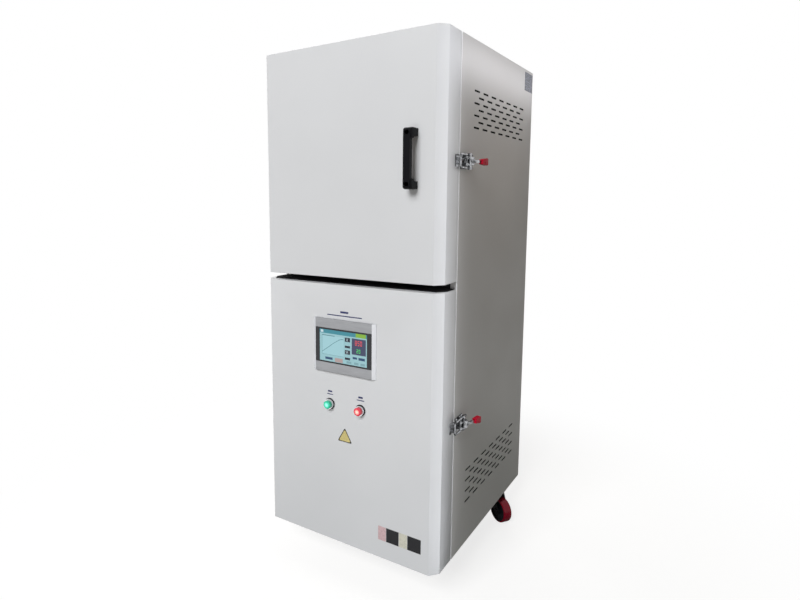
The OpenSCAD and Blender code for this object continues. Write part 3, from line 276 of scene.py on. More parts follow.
vents = {}
for place in ("left", "right", "top", "bottom", "rear"):
    upright_side = place in ("left", "right")
    node = f"{place}_side_panel" if upright_side else f"{place}_panel"
    low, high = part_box(node)
    panel = eased_copy(node, node.replace("panel", "sheet"), side_paint, "side_paint", outer_radius,
                       outer_folds, wide=(front_radius, front_fold) if upright_side else None)
    if upright_side:
        # the round of the front fold takes the near white paint: a painted highlight
        repaint(panel, painted_highlight_coat, in_painted_highlight)
    through = 0 if upright_side else 1
    # the rims of the vent slots take the near black paint: painted shade
    repaint(panel, slot_rim_shade_coat, lambda face: in_slot(face, low, high, through))
    vents[place] = [face.center.copy() for face in panel.data.polygons if in_slot(face, low, high, through)]
# the fascia is coloured near black: painted shade in the gap between the doors
dress(powder_coat("fascia_painted_shade_black", (0.012, 0.012, 0.014), 0.5, 0.2), "front_fascia")
dress(powder_coat("frame_dark_grey", (0.045, 0.048, 0.052), 0.5), "frame_angles")

# Blank rating plate
# A thin anodised plate with a raised lip above and below, left bare and glued near the
# top rear corner of the right side.
plate_front, plate_rear = 617, 694
plate_bottom, plate_top = 1316, 1372
plate_thick, lip_height, lip_thick = 0.6, 3.5, 0.2


def slab(shape, low, high):
    """A box between two corners, given in millimetres, added to a mesh in the making."""
    flat_ring = ((0, 0), (1, 0), (1, 1), (0, 1))
    points = [shape.verts.new(at((low, high)[right][0], (low, high)[back][1], (low, high)[level][2]))
              for level in (0, 1) for right, back in flat_ring]
    for ring in ((3, 2, 1, 0), (4, 5, 6, 7), (0, 1, 5, 4), (1, 2, 6, 5), (2, 3, 7, 6), (3, 0, 4, 7)):
        shape.faces.new([points[index] for index in ring])


plate_metal, plate_tree, plate_shader = finish("plate_blue_grey", (0.20, 0.22, 0.27), 0.35, 0.4)
toned(plate_tree, plate_shader, pattern(plate_tree, 190, 2, (1, 0.7, 1.6)),
      (0.40, (0.04, 0.044, 0.065)), (0.60, (0.18, 0.19, 0.24)))
bumps(plate_tree, plate_shader, pattern(plate_tree, 400, 2, (1, 0.2, 8)), 0.00003)
plate_face = half_width + plate_thick
plate_shape = bmesh.new()
slab(plate_shape, (half_width, plate_front, plate_bottom), (plate_face, plate_rear, plate_top))
for lip_bottom in (plate_top - lip_height, plate_bottom):
    slab(plate_shape, (plate_face, plate_front, lip_bottom),
         (plate_face + lip_thick, plate_rear, lip_bottom + lip_height))
from_shape("blank_rating_plate", plate_shape, "cabinet", "zinc_sheet", plate_metal)

# Black sheet behind the vents
# A near black sheet inside the panels behind each field of vent slots, put there as
# painted shade so that the slots look black from outside.
sheet = 2.0
shade_sheet_thick, shade_sheet_border = 0.6, 12


def halves(centres, low, high):
    """The places in a panel's upper half and those in its lower half."""
    level = (low[2] + high[2]) / 2
    return [c for c in centres if c.z > level], [c for c in centres if c.z < level]


# near black sheet: painted shade behind the vent slots
shade_sheet_material, shade_sheet_tree, shade_sheet_shader = finish("vent_sheet_painted_shade", (0.006, 0.006, 0.007), 0.9)
shade_sheet_shader.inputs["Specular IOR Level"].default_value = 0.05
toned(shade_sheet_tree, shade_sheet_shader, pattern(shade_sheet_tree, 900, 1),
      (0.35, (0.003, 0.003, 0.003)), (0.65, (0.012, 0.012, 0.013)))
bumps(shade_sheet_tree, shade_sheet_shader, pattern(shade_sheet_tree, 1100, 0), 0.0002)
inner_back = (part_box("rear_panel")[1][1] - front_y) * 1000 - sheet
inner_side = half_width - sheet
shade_sheet_mesh = bmesh.new()
for place, axis, inner_face, outer_face in (
        ("left", 0, -inner_side, -inner_side + shade_sheet_thick),
        ("right", 0, inner_side - shade_sheet_thick, inner_side),
        ("rear", 1, inner_back - shade_sheet_thick, inner_back)):
    fields = [vents[place]] if place == "rear" else halves(vents[place], *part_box(f"{place}_side_panel"))
    for field in fields:
        edges = [[pick(centre[along] for centre in field) for along in range(3)] for pick in (min, max)]
        first, last = ([(edge[along] - at(0, 0, 0)[along]) * 1000 + border for along in range(3)]
                       for edge, border in zip(edges, (-shade_sheet_border, shade_sheet_border)))
        first[axis], last[axis] = inner_face, outer_face
        slab(shade_sheet_mesh, first, last)
from_shape("vent_painted_shade_sheet", shade_sheet_mesh, "cabinet", "side_paint", shade_sheet_material)

# Zinc-plated inner sheet work
# Shelf, mounting plate, door backs, hinges and flue are bare galvanised sheet: cool
# grey spangle with faint rolling lines. The inner case is coloured near black as painted
# shade, so that the vent slots look dark.


def galvanised(name, colour, spangle):
    material, tree, shader = finish(name, colour, 0.42, 0.85)
    cells = made_node(tree, "ShaderNodeTexVoronoi", Scale=spangle)
    tree.links.new(tree.nodes["place"].outputs["Object"], cells.inputs["Vector"])
    grey = made_node(tree, "ShaderNodeRGBToBW")
    tree.links.new(cells.outputs["Color"], grey.inputs["Color"])
    toned(tree, shader, grey.outputs["Val"], (0.1, shade(colour, 0.82)), (0.9, shade(colour, 1.12)))
    uneven_sheen(tree, shader, grey.outputs["Val"], 0.34, 0.52, 0.1, 0.9)
    bumps(tree, shader, pattern(tree, 60, 2, (1, 1, 14)), 0.00006)
    return material


dress(galvanised("galvanised_sheet", (0.55, 0.57, 0.60), 55), "divider_shelf", "mounting_plate",
      "cabinet_hinges", "exhaust_flue", "upper_door_back", "lower_door_back", "upper_door_hinges",
      "lower_door_hinges")
# near black coat on the inner case: painted shade seen through the vent slots
dress(powder_coat("case_black_painted_shade", (0.016, 0.016, 0.017), 0.6, 0.08), "inner_case")

# Heating chamber
# Vacuum-formed ceramic fibre board lines the chamber and the upper door; a dense
# hearth plate lies on its floor and dark hairpin elements hang along its sides.


def fibre(name, colour):
    material, tree, shader = finish(name, colour, 0.95)
    toned(tree, shader, pattern(tree, 24, 5),
          (0.3, shade(colour, 0.86)), (0.55, colour), (0.8, shade(colour, 1.05)))
    bumps(tree, shader, pattern(tree, 160, 6, (1, 1, 2.5), 0.7), 0.0009, 0.8)
    return material


def fired_clay(name, colour, grain):
    material, tree, shader = finish(name, colour, 0.8)
    toned(tree, shader, pattern(tree, grain, 6, roughness=0.65),
          (0.35, shade(colour, 0.78)), (0.62, shade(colour, 1.05)))
    bumps(tree, shader, pattern(tree, grain * 3, 3), 0.0003, 0.6)
    return material


dress(fibre("fibre_board_white", (0.80, 0.78, 0.72)), "chamber_insulation", "upper_door_insulation")
dress(fired_clay("hearth_ceramic", (0.62, 0.53, 0.42), 90), "hearth_plate", "element_holders",
      "thermocouple")
element, element_tree, element_shader = finish("element_oxidised", (0.06, 0.058, 0.062), 0.55, 0.2)
toned(element_tree, element_shader, pattern(element_tree, 70, 4),
      (0.35, (0.035, 0.033, 0.036)), (0.7, (0.16, 0.14, 0.13)))
uneven_sheen(element_tree, element_shader, pattern(element_tree, 140, 3), 0.4, 0.75)
dress(element, "heating_elements")

# Electrical compartment
# Iron transformer with wound coils, a finned heat sink and rail mounted devices in
# moulded plastic, all behind the lower door.


def moulded(name, colour, roughness, grain=700.0, height=0.00008, lift=1.35, gloss=0.5):
    """Plastic or rubber with soft clouds of tone and the fine grain of its mould."""
    material, tree, shader = finish(name, colour, roughness)
    shader.inputs["Specular IOR Level"].default_value = gloss
    toned(tree, shader, pattern(tree, 12, 3), (0.3, shade(colour, 0.9)), (0.75, shade(colour, lift)))
    uneven_sheen(tree, shader, pattern(tree, 30, 3), roughness - 0.06, roughness + 0.08)
    bumps(tree, shader, pattern(tree, grain, 2), height, 0.7)
    return material


dress(moulded("moulded_black", (0.010, 0.010, 0.011), 0.45, lift=1.3, gloss=0.15), "cable_gland",
      "button_bodies")
iron, iron_tree, iron_shader = finish("laminated_iron", (0.09, 0.09, 0.10), 0.5, 0.6)
laminations = made_node(iron_tree, "ShaderNodeTexWave", bands_direction="Y", Scale=160)
iron_tree.links.new(iron_tree.nodes["place"].outputs["Object"], laminations.inputs["Vector"])
toned(iron_tree, iron_shader, laminations.outputs["Fac"],
      (0.2, (0.05, 0.05, 0.055)), (0.8, (0.16, 0.15, 0.15)))
bumps(iron_tree, iron_shader, laminations.outputs["Fac"], 0.0002)
dress(iron, "transformer")
sink, sink_tree, sink_shader = finish("extruded_aluminium", (0.55, 0.56, 0.58), 0.38, 0.9)
toned(sink_tree, sink_shader, pattern(sink_tree, 40, 3, (9, 9, 0.5)),
      (0.3, (0.44, 0.45, 0.47)), (0.7, (0.64, 0.65, 0.67)))
bumps(sink_tree, sink_shader, pattern(sink_tree, 300, 2, (6, 6, 0.2)), 0.00005)
dress(sink, "power_regulator")
dress(moulded("device_light_grey", (0.40, 0.41, 0.42), 0.45, lift=1.1), "rail_devices")

# Door seals
# Black silicone profile glued into each door's back, slightly dusty.
dress(moulded("seal_silicone", (0.02, 0.02, 0.021), 0.7, grain=300, height=0.0002, lift=1.8),
      "upper_door_seal", "lower_door_seal")

# Dark strip between the doors
# A near black strip lying on the lower door's top, cut along its chamfered corners,
# which fills most of the gap's depth behind the front edge: painted shade where the
# upper door shades the lower door's top.
strip_thick, strip_inset, strip_corner = 2, 4, 22
strip_front, left_cut_end, right_cut_end = 24, 52, 48


def walled(shape, rings):
    """Joins two rings of points by a wall of faces."""
    for index in range(len(rings[0])):
        following = (index + 1) % len(rings[0])
        shape.faces.new((rings[0][index], rings[0][following], rings[1][following], rings[1][index]))


def prism(shape, outline, low_z, high_z):
    """An upright prism over an outline given in millimetres, seen anticlockwise from above."""
    rings = [[shape.verts.new(at(x, y, level)) for x, y in outline] for level in (low_z, high_z)]
    shape.faces.new(list(reversed(rings[0])))
    shape.faces.new(rings[1])
    walled(shape, rings)


lower_door_top = (door_high[2] - underside_z) * 1000
strip_back = (door_high[1] - front_y) * 1000 - strip_inset
strip_side, strip_end = half_width - strip_inset, half_width - strip_corner
gap_shade_mesh = bmesh.new()
prism(gap_shade_mesh, [(-strip_side, left_cut_end), (-strip_end, strip_front), (strip_end, strip_front),
                     (strip_side, right_cut_end), (strip_side, strip_back), (-strip_side, strip_back)],
      lower_door_top, lower_door_top + strip_thick)
# near black strip: painted shade in the gap between the doors
gap_shade_material = moulded("gap_painted_shade_black", (0.010, 0.010, 0.011), 0.9, grain=900, height=0.0003, lift=1.6,
                 gloss=0.1)
from_shape("gap_painted_shade_strip", gap_shade_mesh, "lower_door", "seal_rubber", gap_shade_material)

# Upper door handle
# Glass-filled nylon bridge handle with soft moulded edges, held by two cap screws
# sunk in its feet.
handle_radius, handle_corner_radius = 1.2, 7
touching, corner_zone = 0.0001, 0.012
handle_low, handle_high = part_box("upper_door_handle")


def end_corner(edge):
    """The edges that run through the handle's depth at the four corners of its face."""
    ends = [end.co for end in edge.verts]
    at_side = all(min(abs(end.x - handle_low[0]), abs(end.x - handle_high[0])) < touching for end in ends)
    at_end = any(min(abs(end.z - handle_low[2]), abs(end.z - handle_high[2])) < corner_zone for end in ends)
    faces = [abs(face.normal.x) for face in edge.link_faces]
    return at_side and at_end and edge.is_convex and min(faces) < 0.5 < max(faces)


handle_nylon = moulded("handle_nylon", (0.006, 0.006, 0.007), 0.45, grain=520, height=0.0001, lift=1.4,
                       gloss=0.06)
eased_copy("upper_door_handle", "door_handle", handle_nylon, "black_plastic", handle_radius, folds_over(4),
           fold=35, wide=(handle_corner_radius, end_corner))
blackened, blackened_tree, blackened_shader = finish("screw_black_oxide", (0.03, 0.03, 0.032), 0.35, 0.8)
toned(blackened_tree, blackened_shader, pattern(blackened_tree, 300, 3),
      (0.3, (0.02, 0.02, 0.022)), (0.8, (0.08, 0.08, 0.085)))
dress(blackened, "handle_screws")

# Operator panel
# Anodised alloy bezel, polished on the two strips beside its black glass; behind the
# glass is the screen.
bezel_radius = 0.5
polished_alloy = (0.78, 0.79, 0.82, 1)
glass_low, glass_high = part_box("operator_panel_glass")


def reckoned(tree, operation, *given):
    """One step of arithmetic on sockets and plain numbers, as a socket."""
    step = made_node(tree, "ShaderNodeMath", operation=operation)
    for socket, value in zip(step.inputs, given):
        if isinstance(value, (int, float)):
            socket.default_value = value
        else:
            tree.links.new(value, socket)
    return step.outputs["Value"]


alloy, alloy_tree, alloy_shader = finish("bezel_alloy", (0.36, 0.365, 0.38), 0.36, 0.6)
toned(alloy_tree, alloy_shader, pattern(alloy_tree, 90, 3, (0.3, 8, 8)),
      (0.3, (0.33, 0.335, 0.35)), (0.7, (0.40, 0.405, 0.42)))
bumps(alloy_tree, alloy_shader, pattern(alloy_tree, 500, 2, (0.2, 6, 6)), 0.00003)
across = made_node(alloy_tree, "ShaderNodeSeparateXYZ")
alloy_tree.links.new(alloy_tree.nodes["place"].outputs["Object"], across.inputs["Vector"])
glass_middle = (glass_low[0] + glass_high[0]) / 2
off_middle = reckoned(alloy_tree, "SUBTRACT", across.outputs["X"], glass_middle)
off_middle = reckoned(alloy_tree, "ABSOLUTE", off_middle)
beside_glass = reckoned(alloy_tree, "GREATER_THAN", off_middle, (glass_high[0] - glass_low[0]) / 2 + hair)
polished = made_node(alloy_tree, "ShaderNodeMix", data_type="RGBA")
polished.inputs[7].default_value = polished_alloy
alloy_tree.links.new(beside_glass, polished.inputs[0])
alloy_tree.links.new(alloy_shader.inputs["Base Color"].links[0].from_socket, polished.inputs[6])
alloy_tree.links.new(polished.outputs[2], alloy_shader.inputs["Base Color"])
eased_copy("operator_panel_frame", "operator_bezel", alloy, "panel_alloy", bezel_radius, folds_over(20),
           fold=12)
glass, glass_tree, glass_shader = finish("panel_black_glass", (0.012, 0.013, 0.016), 0.08)
toned(glass_tree, glass_shader, pattern(glass_tree, 20, 2),
      (0.3, (0.010, 0.011, 0.014)), (0.7, (0.016, 0.017, 0.021)))
uneven_sheen(glass_tree, glass_shader, pattern(glass_tree, 60, 4), 0.05, 0.14)
dress(glass, "operator_panel_glass")

# Screen picture
# What the lit screen shows: a header bar, a rising curve on a pale field, dark value
# boxes with plain numerals and a row of blank buttons, in thin layers on the glass.
screen_width, screen_height, ink_layer = 153.0, 89.0, 0.04
screen_x = ((glass_low[0] + glass_high[0]) / 2 - middle_x) * 1000 - screen_width / 2
screen_z = ((glass_low[2] + glass_high[2]) / 2 - underside_z) * 1000 + screen_height / 2
glass_y = (glass_low[1] - front_y) * 1000
screen_inks = {
    "field": (0.30, 0.52, 0.56), "chart": (0.34, 0.58, 0.63), "header": (0.045, 0.24, 0.30),
    "lime": (0.22, 0.42, 0.04), "box": (0.012, 0.016, 0.03), "value_box": (0.045, 0.055, 0.11),
    "navy": (0.02, 0.06, 0.14), "rose": (0.42, 0.32, 0.31), "grey_button": (0.20, 0.36, 0.40),
    "line": (0.04, 0.14, 0.17), "red_numeral": (0.80, 0.10, 0.12), "green_numeral": (0.10, 0.75, 0.18),
    "pale_numeral": (0.55, 0.68, 0.72)}
segments_of = {"0": "abcdef", "1": "bc", "2": "abged", "3": "abgcd", "4": "fgbc", "5": "afgcd",
               "8": "abcdefg"}
figure_step, stroke_wide, stroke_high = 1.5, 0.24, 0.13
strokes = {"a": (0, 0, 1, 0), "b": (1, 0, 0, 1), "c": (1, 1, 0, 1), "d": (0, 2, 1, 0), "e": (0, 1, 0, 1),
           "f": (0, 0, 0, 1), "g": (0, 1, 1, 0)}


def lit_ink(name, colour):
    material, tree, shader = finish(name, shade(colour, 0.5), 0.25)
    ramp(tree, pattern(tree, 1400, 0), [(0.3, shade(colour, 0.92)), (0.7, colour)],
         shader.inputs["Emission Color"])
    shader.inputs["Emission Strength"].default_value = 0.55
    return material


def coloured_since(shape, before, index):
    """Gives the faces made since an earlier count the material of an index."""
    shape.faces.ensure_lookup_table()
    for face in shape.faces[before:]:
        face.material_index = index


def screen_block(left, top, wide, high, ink, layer):
    """A flat block on the screen, its place and size given as shares of the screen."""
    lift = ink_layer * layer
    low = (screen_x + left * screen_width, glass_y - lift, screen_z - (top + high) * screen_height)
    size = (wide * screen_width, lift, high * screen_height)
    before = len(screen_shape.faces)
    slab(screen_shape, low, [low[axis] + size[axis] for axis in range(3)])
    coloured_since(screen_shape, before, list(screen_inks).index(ink))


def numerals(figures, left, top, wide, high, ink, layer):
    """Seven-stroke figures in a row, each of the given width and height."""
    thick_x, thick_z = stroke_wide * wide, stroke_high * high
    for index, figure in enumerate(figures):
        for stroke in segments_of[figure]:
            start_x, start_z, run_x, run_z = strokes[stroke]
            screen_block(left + index * wide * figure_step + start_x * (wide - thick_x),
                         top + start_z * (high - thick_z) / 2, run_x * wide or thick_x,
                         run_z * (high + thick_z) / 2 or thick_z, ink, layer)


screen_shape = bmesh.new()
for block in (
        (0, 0, 1, 1, "field", 1), (0, 0, 1, 0.12, "header", 2), (0.02, 0.02, 0.06, 0.08, "pale_numeral", 3),
        (0.77, 0.0, 0.21, 0.12, "lime", 3), (0.05, 0.19, 0.47, 0.6, "chart", 2),
        (0.05, 0.19, 0.004, 0.6, "line", 3), (0.05, 0.786, 0.47, 0.006, "line", 3),
        (0.05, 0.175, 0.28, 0.018, "line", 3), (0.545, 0.17, 0.11, 0.13, "box", 2),
        (0.545, 0.42, 0.11, 0.07, "box", 2), (0.545, 0.56, 0.11, 0.13, "box", 2),
        (0.545, 0.79, 0.11, 0.07, "box", 2), (0.69, 0.16, 0.29, 0.5, "value_box", 2),
        (0.12, 0.87, 0.16, 0.075, "navy", 2), (0.33, 0.86, 0.17, 0.13, "rose", 2),
        (0.71, 0.735, 0.09, 0.065, "navy", 2), (0.83, 0.735, 0.13, 0.08, "navy", 2),
        (0.58, 0.90, 0.10, 0.07, "grey_button", 2), (0.74, 0.90, 0.09, 0.07, "grey_button", 2),
        (0.87, 0.90, 0.09, 0.07, "grey_button", 2)):
    screen_block(*block)
numerals("850", 0.76, 0.22, 0.035, 0.15, "red_numeral", 3)
numerals("20", 0.79, 0.48, 0.030, 0.12, "green_numeral", 3)
numerals("12", 0.565, 0.195, 0.018, 0.08, "pale_numeral", 3)
numerals("34", 0.565, 0.585, 0.018, 0.08, "pale_numeral", 3)
curve_points = [(0.055, 0.70), (0.13, 0.61), (0.30, 0.40), (0.42, 0.27), (0.47, 0.245), (0.515, 0.245)]
curve_step, curve_thick, overlap = 0.008, 0.014, 1.15
for (x0, z0), (x1, z1) in zip(curve_points, curve_points[1:]):
    steps = max(1, round((x1 - x0) / curve_step))
    for step in range(steps):
        share = step / steps
        screen_block(x0 + (x1 - x0) * share, z0 + (z1 - z0) * share, (x1 - x0) / steps * overlap,
                     curve_thick, "line", 3)
from_shape("screen_picture", screen_shape, "lower_door", "panel_glass",
           *[lit_ink(f"screen_{name}", colour) for name, colour in screen_inks.items()])

# Push buttons
# Domed translucent lenses lit from behind, in bright chrome rings over black washers.
lens_radius = 0.0114


def lit_lens(name, colour, glow, centre_x, centre_z):
    """A lens that is palest in its middle, where its lamp is."""
    material, tree, shader = finish(name, colour, 0.22)
    shader.inputs["Coat Weight"].default_value = 0.6
    shader.inputs["Coat Roughness"].default_value = 0.08
    centre = at(centre_x, 0, centre_z)
    offset = made_node(tree, "ShaderNodeMapping", Location=(-centre.x, 0, -centre.z))
    tree.links.new(tree.nodes["place"].outputs["Object"], offset.inputs["Vector"])
    flat = made_node(tree, "ShaderNodeVectorMath", operation="MULTIPLY")
    flat.inputs[1].default_value = (1, 0, 1)
    tree.links.new(offset.outputs["Vector"], flat.inputs[0])
    reach = made_node(tree, "ShaderNodeVectorMath", operation="LENGTH")
    tree.links.new(flat.outputs["Vector"], reach.inputs[0])
    spread = made_node(tree, "ShaderNodeMapRange")
    spread.inputs["From Max"].default_value = lens_radius
    tree.links.new(reach.outputs["Value"], spread.inputs["Value"])
    light = [(0.15, glow), (0.68, shade(colour, 0.6)), (1.0, shade(colour, 0.2))]
    toned(tree, shader, spread.outputs["Result"],
          (0.2, glow), (0.68, colour), (1.0, shade(colour, 0.75)))
    ramp(tree, spread.outputs["Result"], light, shader.inputs["Emission Color"])
    shader.inputs["Emission Strength"].default_value = 0.45
    bumps(tree, shader, pattern(tree, 900, 1), 0.00004)
    return material


def plated(name, colour, roughness, scratch=1.0, dark=0.86, grain=45):
    material, tree, shader = finish(name, colour, roughness, 1.0)
    toned(tree, shader, pattern(tree, grain, 4), (0.36, shade(colour, dark)), (0.64, shade(colour, 1.06)))
    uneven_sheen(tree, shader, pattern(tree, 130, 4), roughness, roughness + 0.14)
    bumps(tree, shader, pattern(tree, 260, 3), 0.00003 * scratch)
    return material


def millimetres(node):
    """A node's box in millimetres, in the frame that at() uses."""
    origin = (middle_x, front_y, underside_z)
    return [[(corner[axis] - origin[axis]) * 1000 for axis in range(3)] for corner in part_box(node)]


button_x = {}
for name, colour, glow in (("green", (0.004, 0.54, 0.32), (0.30, 0.95, 0.74)),
                           ("red", (0.72, 0.015, 0.05), (1.0, 0.62, 0.50))):
    button_low, button_high = millimetres(f"{name}_button")
    button_x[name] = (button_low[0] + button_high[0]) / 2
    button_z = (button_low[2] + button_high[2]) / 2
    dress(lit_lens(f"lens_{name}", colour, glow, button_x[name], button_z), f"{name}_button")
dress(plated("bright_chrome", (0.80, 0.81, 0.83), 0.10), "button_rings")

# Printed marks and blank plates on the lower door
# Plain dark blue bars printed where the legends are, a strip of four blank colour
# fields near the lower right corner, and a blank yellow plate with a black rim.
ink_thick = 0.12
heading_z, heading_line_z = 669, 660
legend_z, legend_line_z = 440, 433
strip_bottom, strip_top, foil_thick = 52, 92, 0.2
triangle_x, triangle_z, corner_radius, corner_reach = 1, 318, 2.5, 3


def printed(name, colour):
    material, tree, shader = finish(name, colour, 0.4)
    toned(tree, shader, pattern(tree, 260, 4), (0.3, shade(colour, 0.85)), (0.7, shade(colour, 1.1)))
    return material


legend_shape = bmesh.new()
for middle, low_z, wide, high in (
        (0, heading_z, 26, 5.5), (0, heading_line_z, 112, 3.0), (button_x["green"], legend_z, 14, 5),
        (button_x["green"], legend_line_z, 20, 2.6), (button_x["red"], legend_z, 14, 5),
        (button_x["red"], legend_line_z, 24, 2.6)):
    slab(legend_shape, (middle - wide / 2, -ink_thick, low_z), (middle + wide / 2, 0, low_z + high))
from_shape("legend_bars", legend_shape, "lower_door", "panel_glass",
           printed("ink_dark_blue", (0.02, 0.025, 0.10)))
strip_shape = bmesh.new()
pink, black, cream = range(3)
for left, end, colour_index in ((109, 133, pink), (134, 172, black), (173, 197, cream), (198, 237, black)):
    before = len(strip_shape.faces)
    slab(strip_shape, (left, -foil_thick, strip_bottom), (end, 0, strip_top))
    coloured_since(strip_shape, before, colour_index)
from_shape("blank_field_strip", strip_shape, "lower_door", "panel_glass",
           printed("field_pink", (0.60, 0.42, 0.43)), printed("field_black", (0.02, 0.02, 0.022)),
           printed("field_cream", (0.62, 0.60, 0.50)))
triangle_shape = bmesh.new()
for radius, lift, tone in ((25.5, 0.25, 0), (20.5, 0.35, 1)):
    before = len(triangle_shape.faces)
    rings = []
    for depth in (0, -lift):
        rings.append([])
        for corner in range(3):
            turn = math.radians(90 + 120 * corner)
            corner_x = triangle_x + (radius - corner_reach) * math.cos(turn)
            corner_z = triangle_z + (radius - corner_reach) * math.sin(turn)
            for bend in (turn + math.radians(-60 + 30 * step) for step in range(5)):
                x, z = corner_x + corner_radius * math.cos(bend), corner_z + corner_radius * math.sin(bend)
                rings[-1].append(triangle_shape.verts.new(at(x, depth, z)))
    triangle_shape.faces.new(rings[1])
    triangle_shape.faces.new(list(reversed(rings[0])))
    walled(triangle_shape, rings)
    coloured_since(triangle_shape, before, tone)
bmesh.ops.recalc_face_normals(triangle_shape, faces=triangle_shape.faces)
from_shape("blank_triangle_plate", triangle_shape, "lower_door", "panel_glass",
           printed("plate_rim_black", (0.018, 0.016, 0.012)),
           printed("plate_pale_yellow", (0.60, 0.50, 0.20)))

# Latch clamps
# Pressed and zinc-chromed steel: a base with two ears, a lever on a pin, a threaded
# hook through a cross bar, and a catch on each door; red dipped plastic grips.
grip_radius = 2.2
# the plating's colour swings from near black to light grey in blotches: a little real mottle of the plating
# and, in its near black blotches, painted reflection of dark surroundings
plating_with_painted_reflection = plated("clamp_plating", (0.47, 0.48, 0.50), 0.17, 2.0, 0.16, 110)
grip_plastic = moulded("grip_red", (0.42, 0.004, 0.022), 0.30, grain=500, height=0.00005, lift=1.2,
                       gloss=0.2)
dress(plating_with_painted_reflection, "clamp_bases")
for level in ("upper", "lower"):
    dress(plating_with_painted_reflection, f"{level}_door_catch", f"{level}_clamp_hook", f"{level}_clamp_lever")
    eased_copy(f"{level}_clamp_grip", f"{level}_grip_sleeve", grip_plastic, "red_grip", grip_radius,
               folds_over(2), segments=4)

# Castors
# Pressed black steel forks on ball races, black nylon hubs and glossy dark red treads.
castor_steel = powder_coat("castor_black", (0.010, 0.010, 0.012), 0.40, 0.3)
hub_nylon = moulded("hub_nylon_black", (0.010, 0.011, 0.013), 0.36, grain=420, lift=1.5, gloss=0.25)
tread_red = moulded("tread_polyurethane", (0.22, 0.003, 0.016), 0.22, grain=220, height=0.00012, lift=1.25,
                    gloss=0.22)
dress(castor_steel, "castor_plates")
for corner in ("front_left", "front_right", "rear_left", "rear_right"):
    dress(castor_steel, f"{corner}_fork")
    dress(hub_nylon, f"{corner}_hub")
    dress(tread_red, f"{corner}_tread")

# Screws and threads
# Zinc-plated pan head screws with cross recesses hold the catches, clamp bases, hinges,
# panels and plates, bolts the castors; each turn of the hooks' threads is a tapered ring.
base_screw, catch_screw, thread_turn = (3.6, 2.2), (2.8, 1.8), (2.75, 0.7)
rear_screw, flue_screw, fascia_screw = (4.0, 2.4), (4.4, 2.6), (3.4, 1.6)
plate_screw, back_screw, hinge_screw, castor_bolt = (5.0, 3.0), (3.4, 2.0), (4.6, 2.4), (6.5, 4.0)


def head_tree():
    """Node tree that sets a recessed pan head on every point, along its facing."""
    tree = bpy.data.node_groups.new("screw_heads", "GeometryNodeTree")
    for name, kind in (("Geometry", "Geometry"), ("Head Radius", "Float"), ("Head Height", "Float"),
                       ("Material", "Material")):
        tree.interface.new_socket(name, in_out="INPUT", socket_type=f"NodeSocket{kind}")
    tree.interface.new_socket("Geometry", in_out="OUTPUT", socket_type="NodeSocketGeometry")
    given = made_node(tree, "NodeGroupInput")
    result = made_node(tree, "NodeGroupOutput")
    radius, height = given.outputs["Head Radius"], given.outputs["Head Height"]
    recess_length = reckoned(tree, "MULTIPLY", radius, 1.1)
    recess_width = reckoned(tree, "MULTIPLY", radius, 0.24)
    head = made_node(tree, "GeometryNodeMeshCone", Vertices=24)
    tree.links.new(radius, head.inputs["Radius Bottom"])
    tree.links.new(reckoned(tree, "MULTIPLY", radius, 0.76), head.inputs["Radius Top"])
    tree.links.new(height, head.inputs["Depth"])
    cut = made_node(tree, "GeometryNodeMeshBoolean", operation="DIFFERENCE")
    tree.links.new(head.outputs["Mesh"], cut.inputs["Mesh 1"])
    for size_x, size_y in ((recess_length, recess_width), (recess_width, recess_length)):
        blade = made_node(tree, "GeometryNodeMeshCube")
        size = made_node(tree, "ShaderNodeCombineXYZ")
        tree.links.new(size_x, size.inputs["X"])
        tree.links.new(size_y, size.inputs["Y"])
        tree.links.new(height, size.inputs["Z"])
        tree.links.new(size.outputs["Vector"], blade.inputs["Size"])
        raised = made_node(tree, "GeometryNodeTransform")
        lift = made_node(tree, "ShaderNodeCombineXYZ")
        tree.links.new(height, lift.inputs["Z"])
        tree.links.new(lift.outputs["Vector"], raised.inputs["Translation"])
        tree.links.new(blade.outputs["Mesh"], raised.inputs["Geometry"])
        tree.links.new(raised.outputs["Geometry"], cut.inputs["Mesh 2"])
    facing = made_node(tree, "GeometryNodeInputNamedAttribute", data_type="FLOAT_VECTOR", Name="facing")
    turn = made_node(tree, "FunctionNodeAlignRotationToVector", axis="Z")
    tree.links.new(facing.outputs["Attribute"], turn.inputs["Vector"])
    spread = made_node(tree, "GeometryNodeInstanceOnPoints")
    tree.links.new(given.outputs["Geometry"], spread.inputs["Points"])
    tree.links.new(cut.outputs["Mesh"], spread.inputs["Instance"])
    tree.links.new(turn.outputs["Rotation"], spread.inputs["Rotation"])
    plain = made_node(tree, "GeometryNodeRealizeInstances")
    coat = made_node(tree, "GeometryNodeSetMaterial")
    tree.links.new(spread.outputs["Instances"], plain.inputs["Geometry"])
    tree.links.new(plain.outputs["Geometry"], coat.inputs["Geometry"])
    tree.links.new(given.outputs["Material"], coat.inputs["Material"])
    tree.links.new(coat.outputs["Geometry"], result.inputs["Geometry"])
    return tree


screw_heads = head_tree()
screw_steel = plated("screw_zinc", (0.50, 0.51, 0.53), 0.26, 1.0, 0.55, 300)


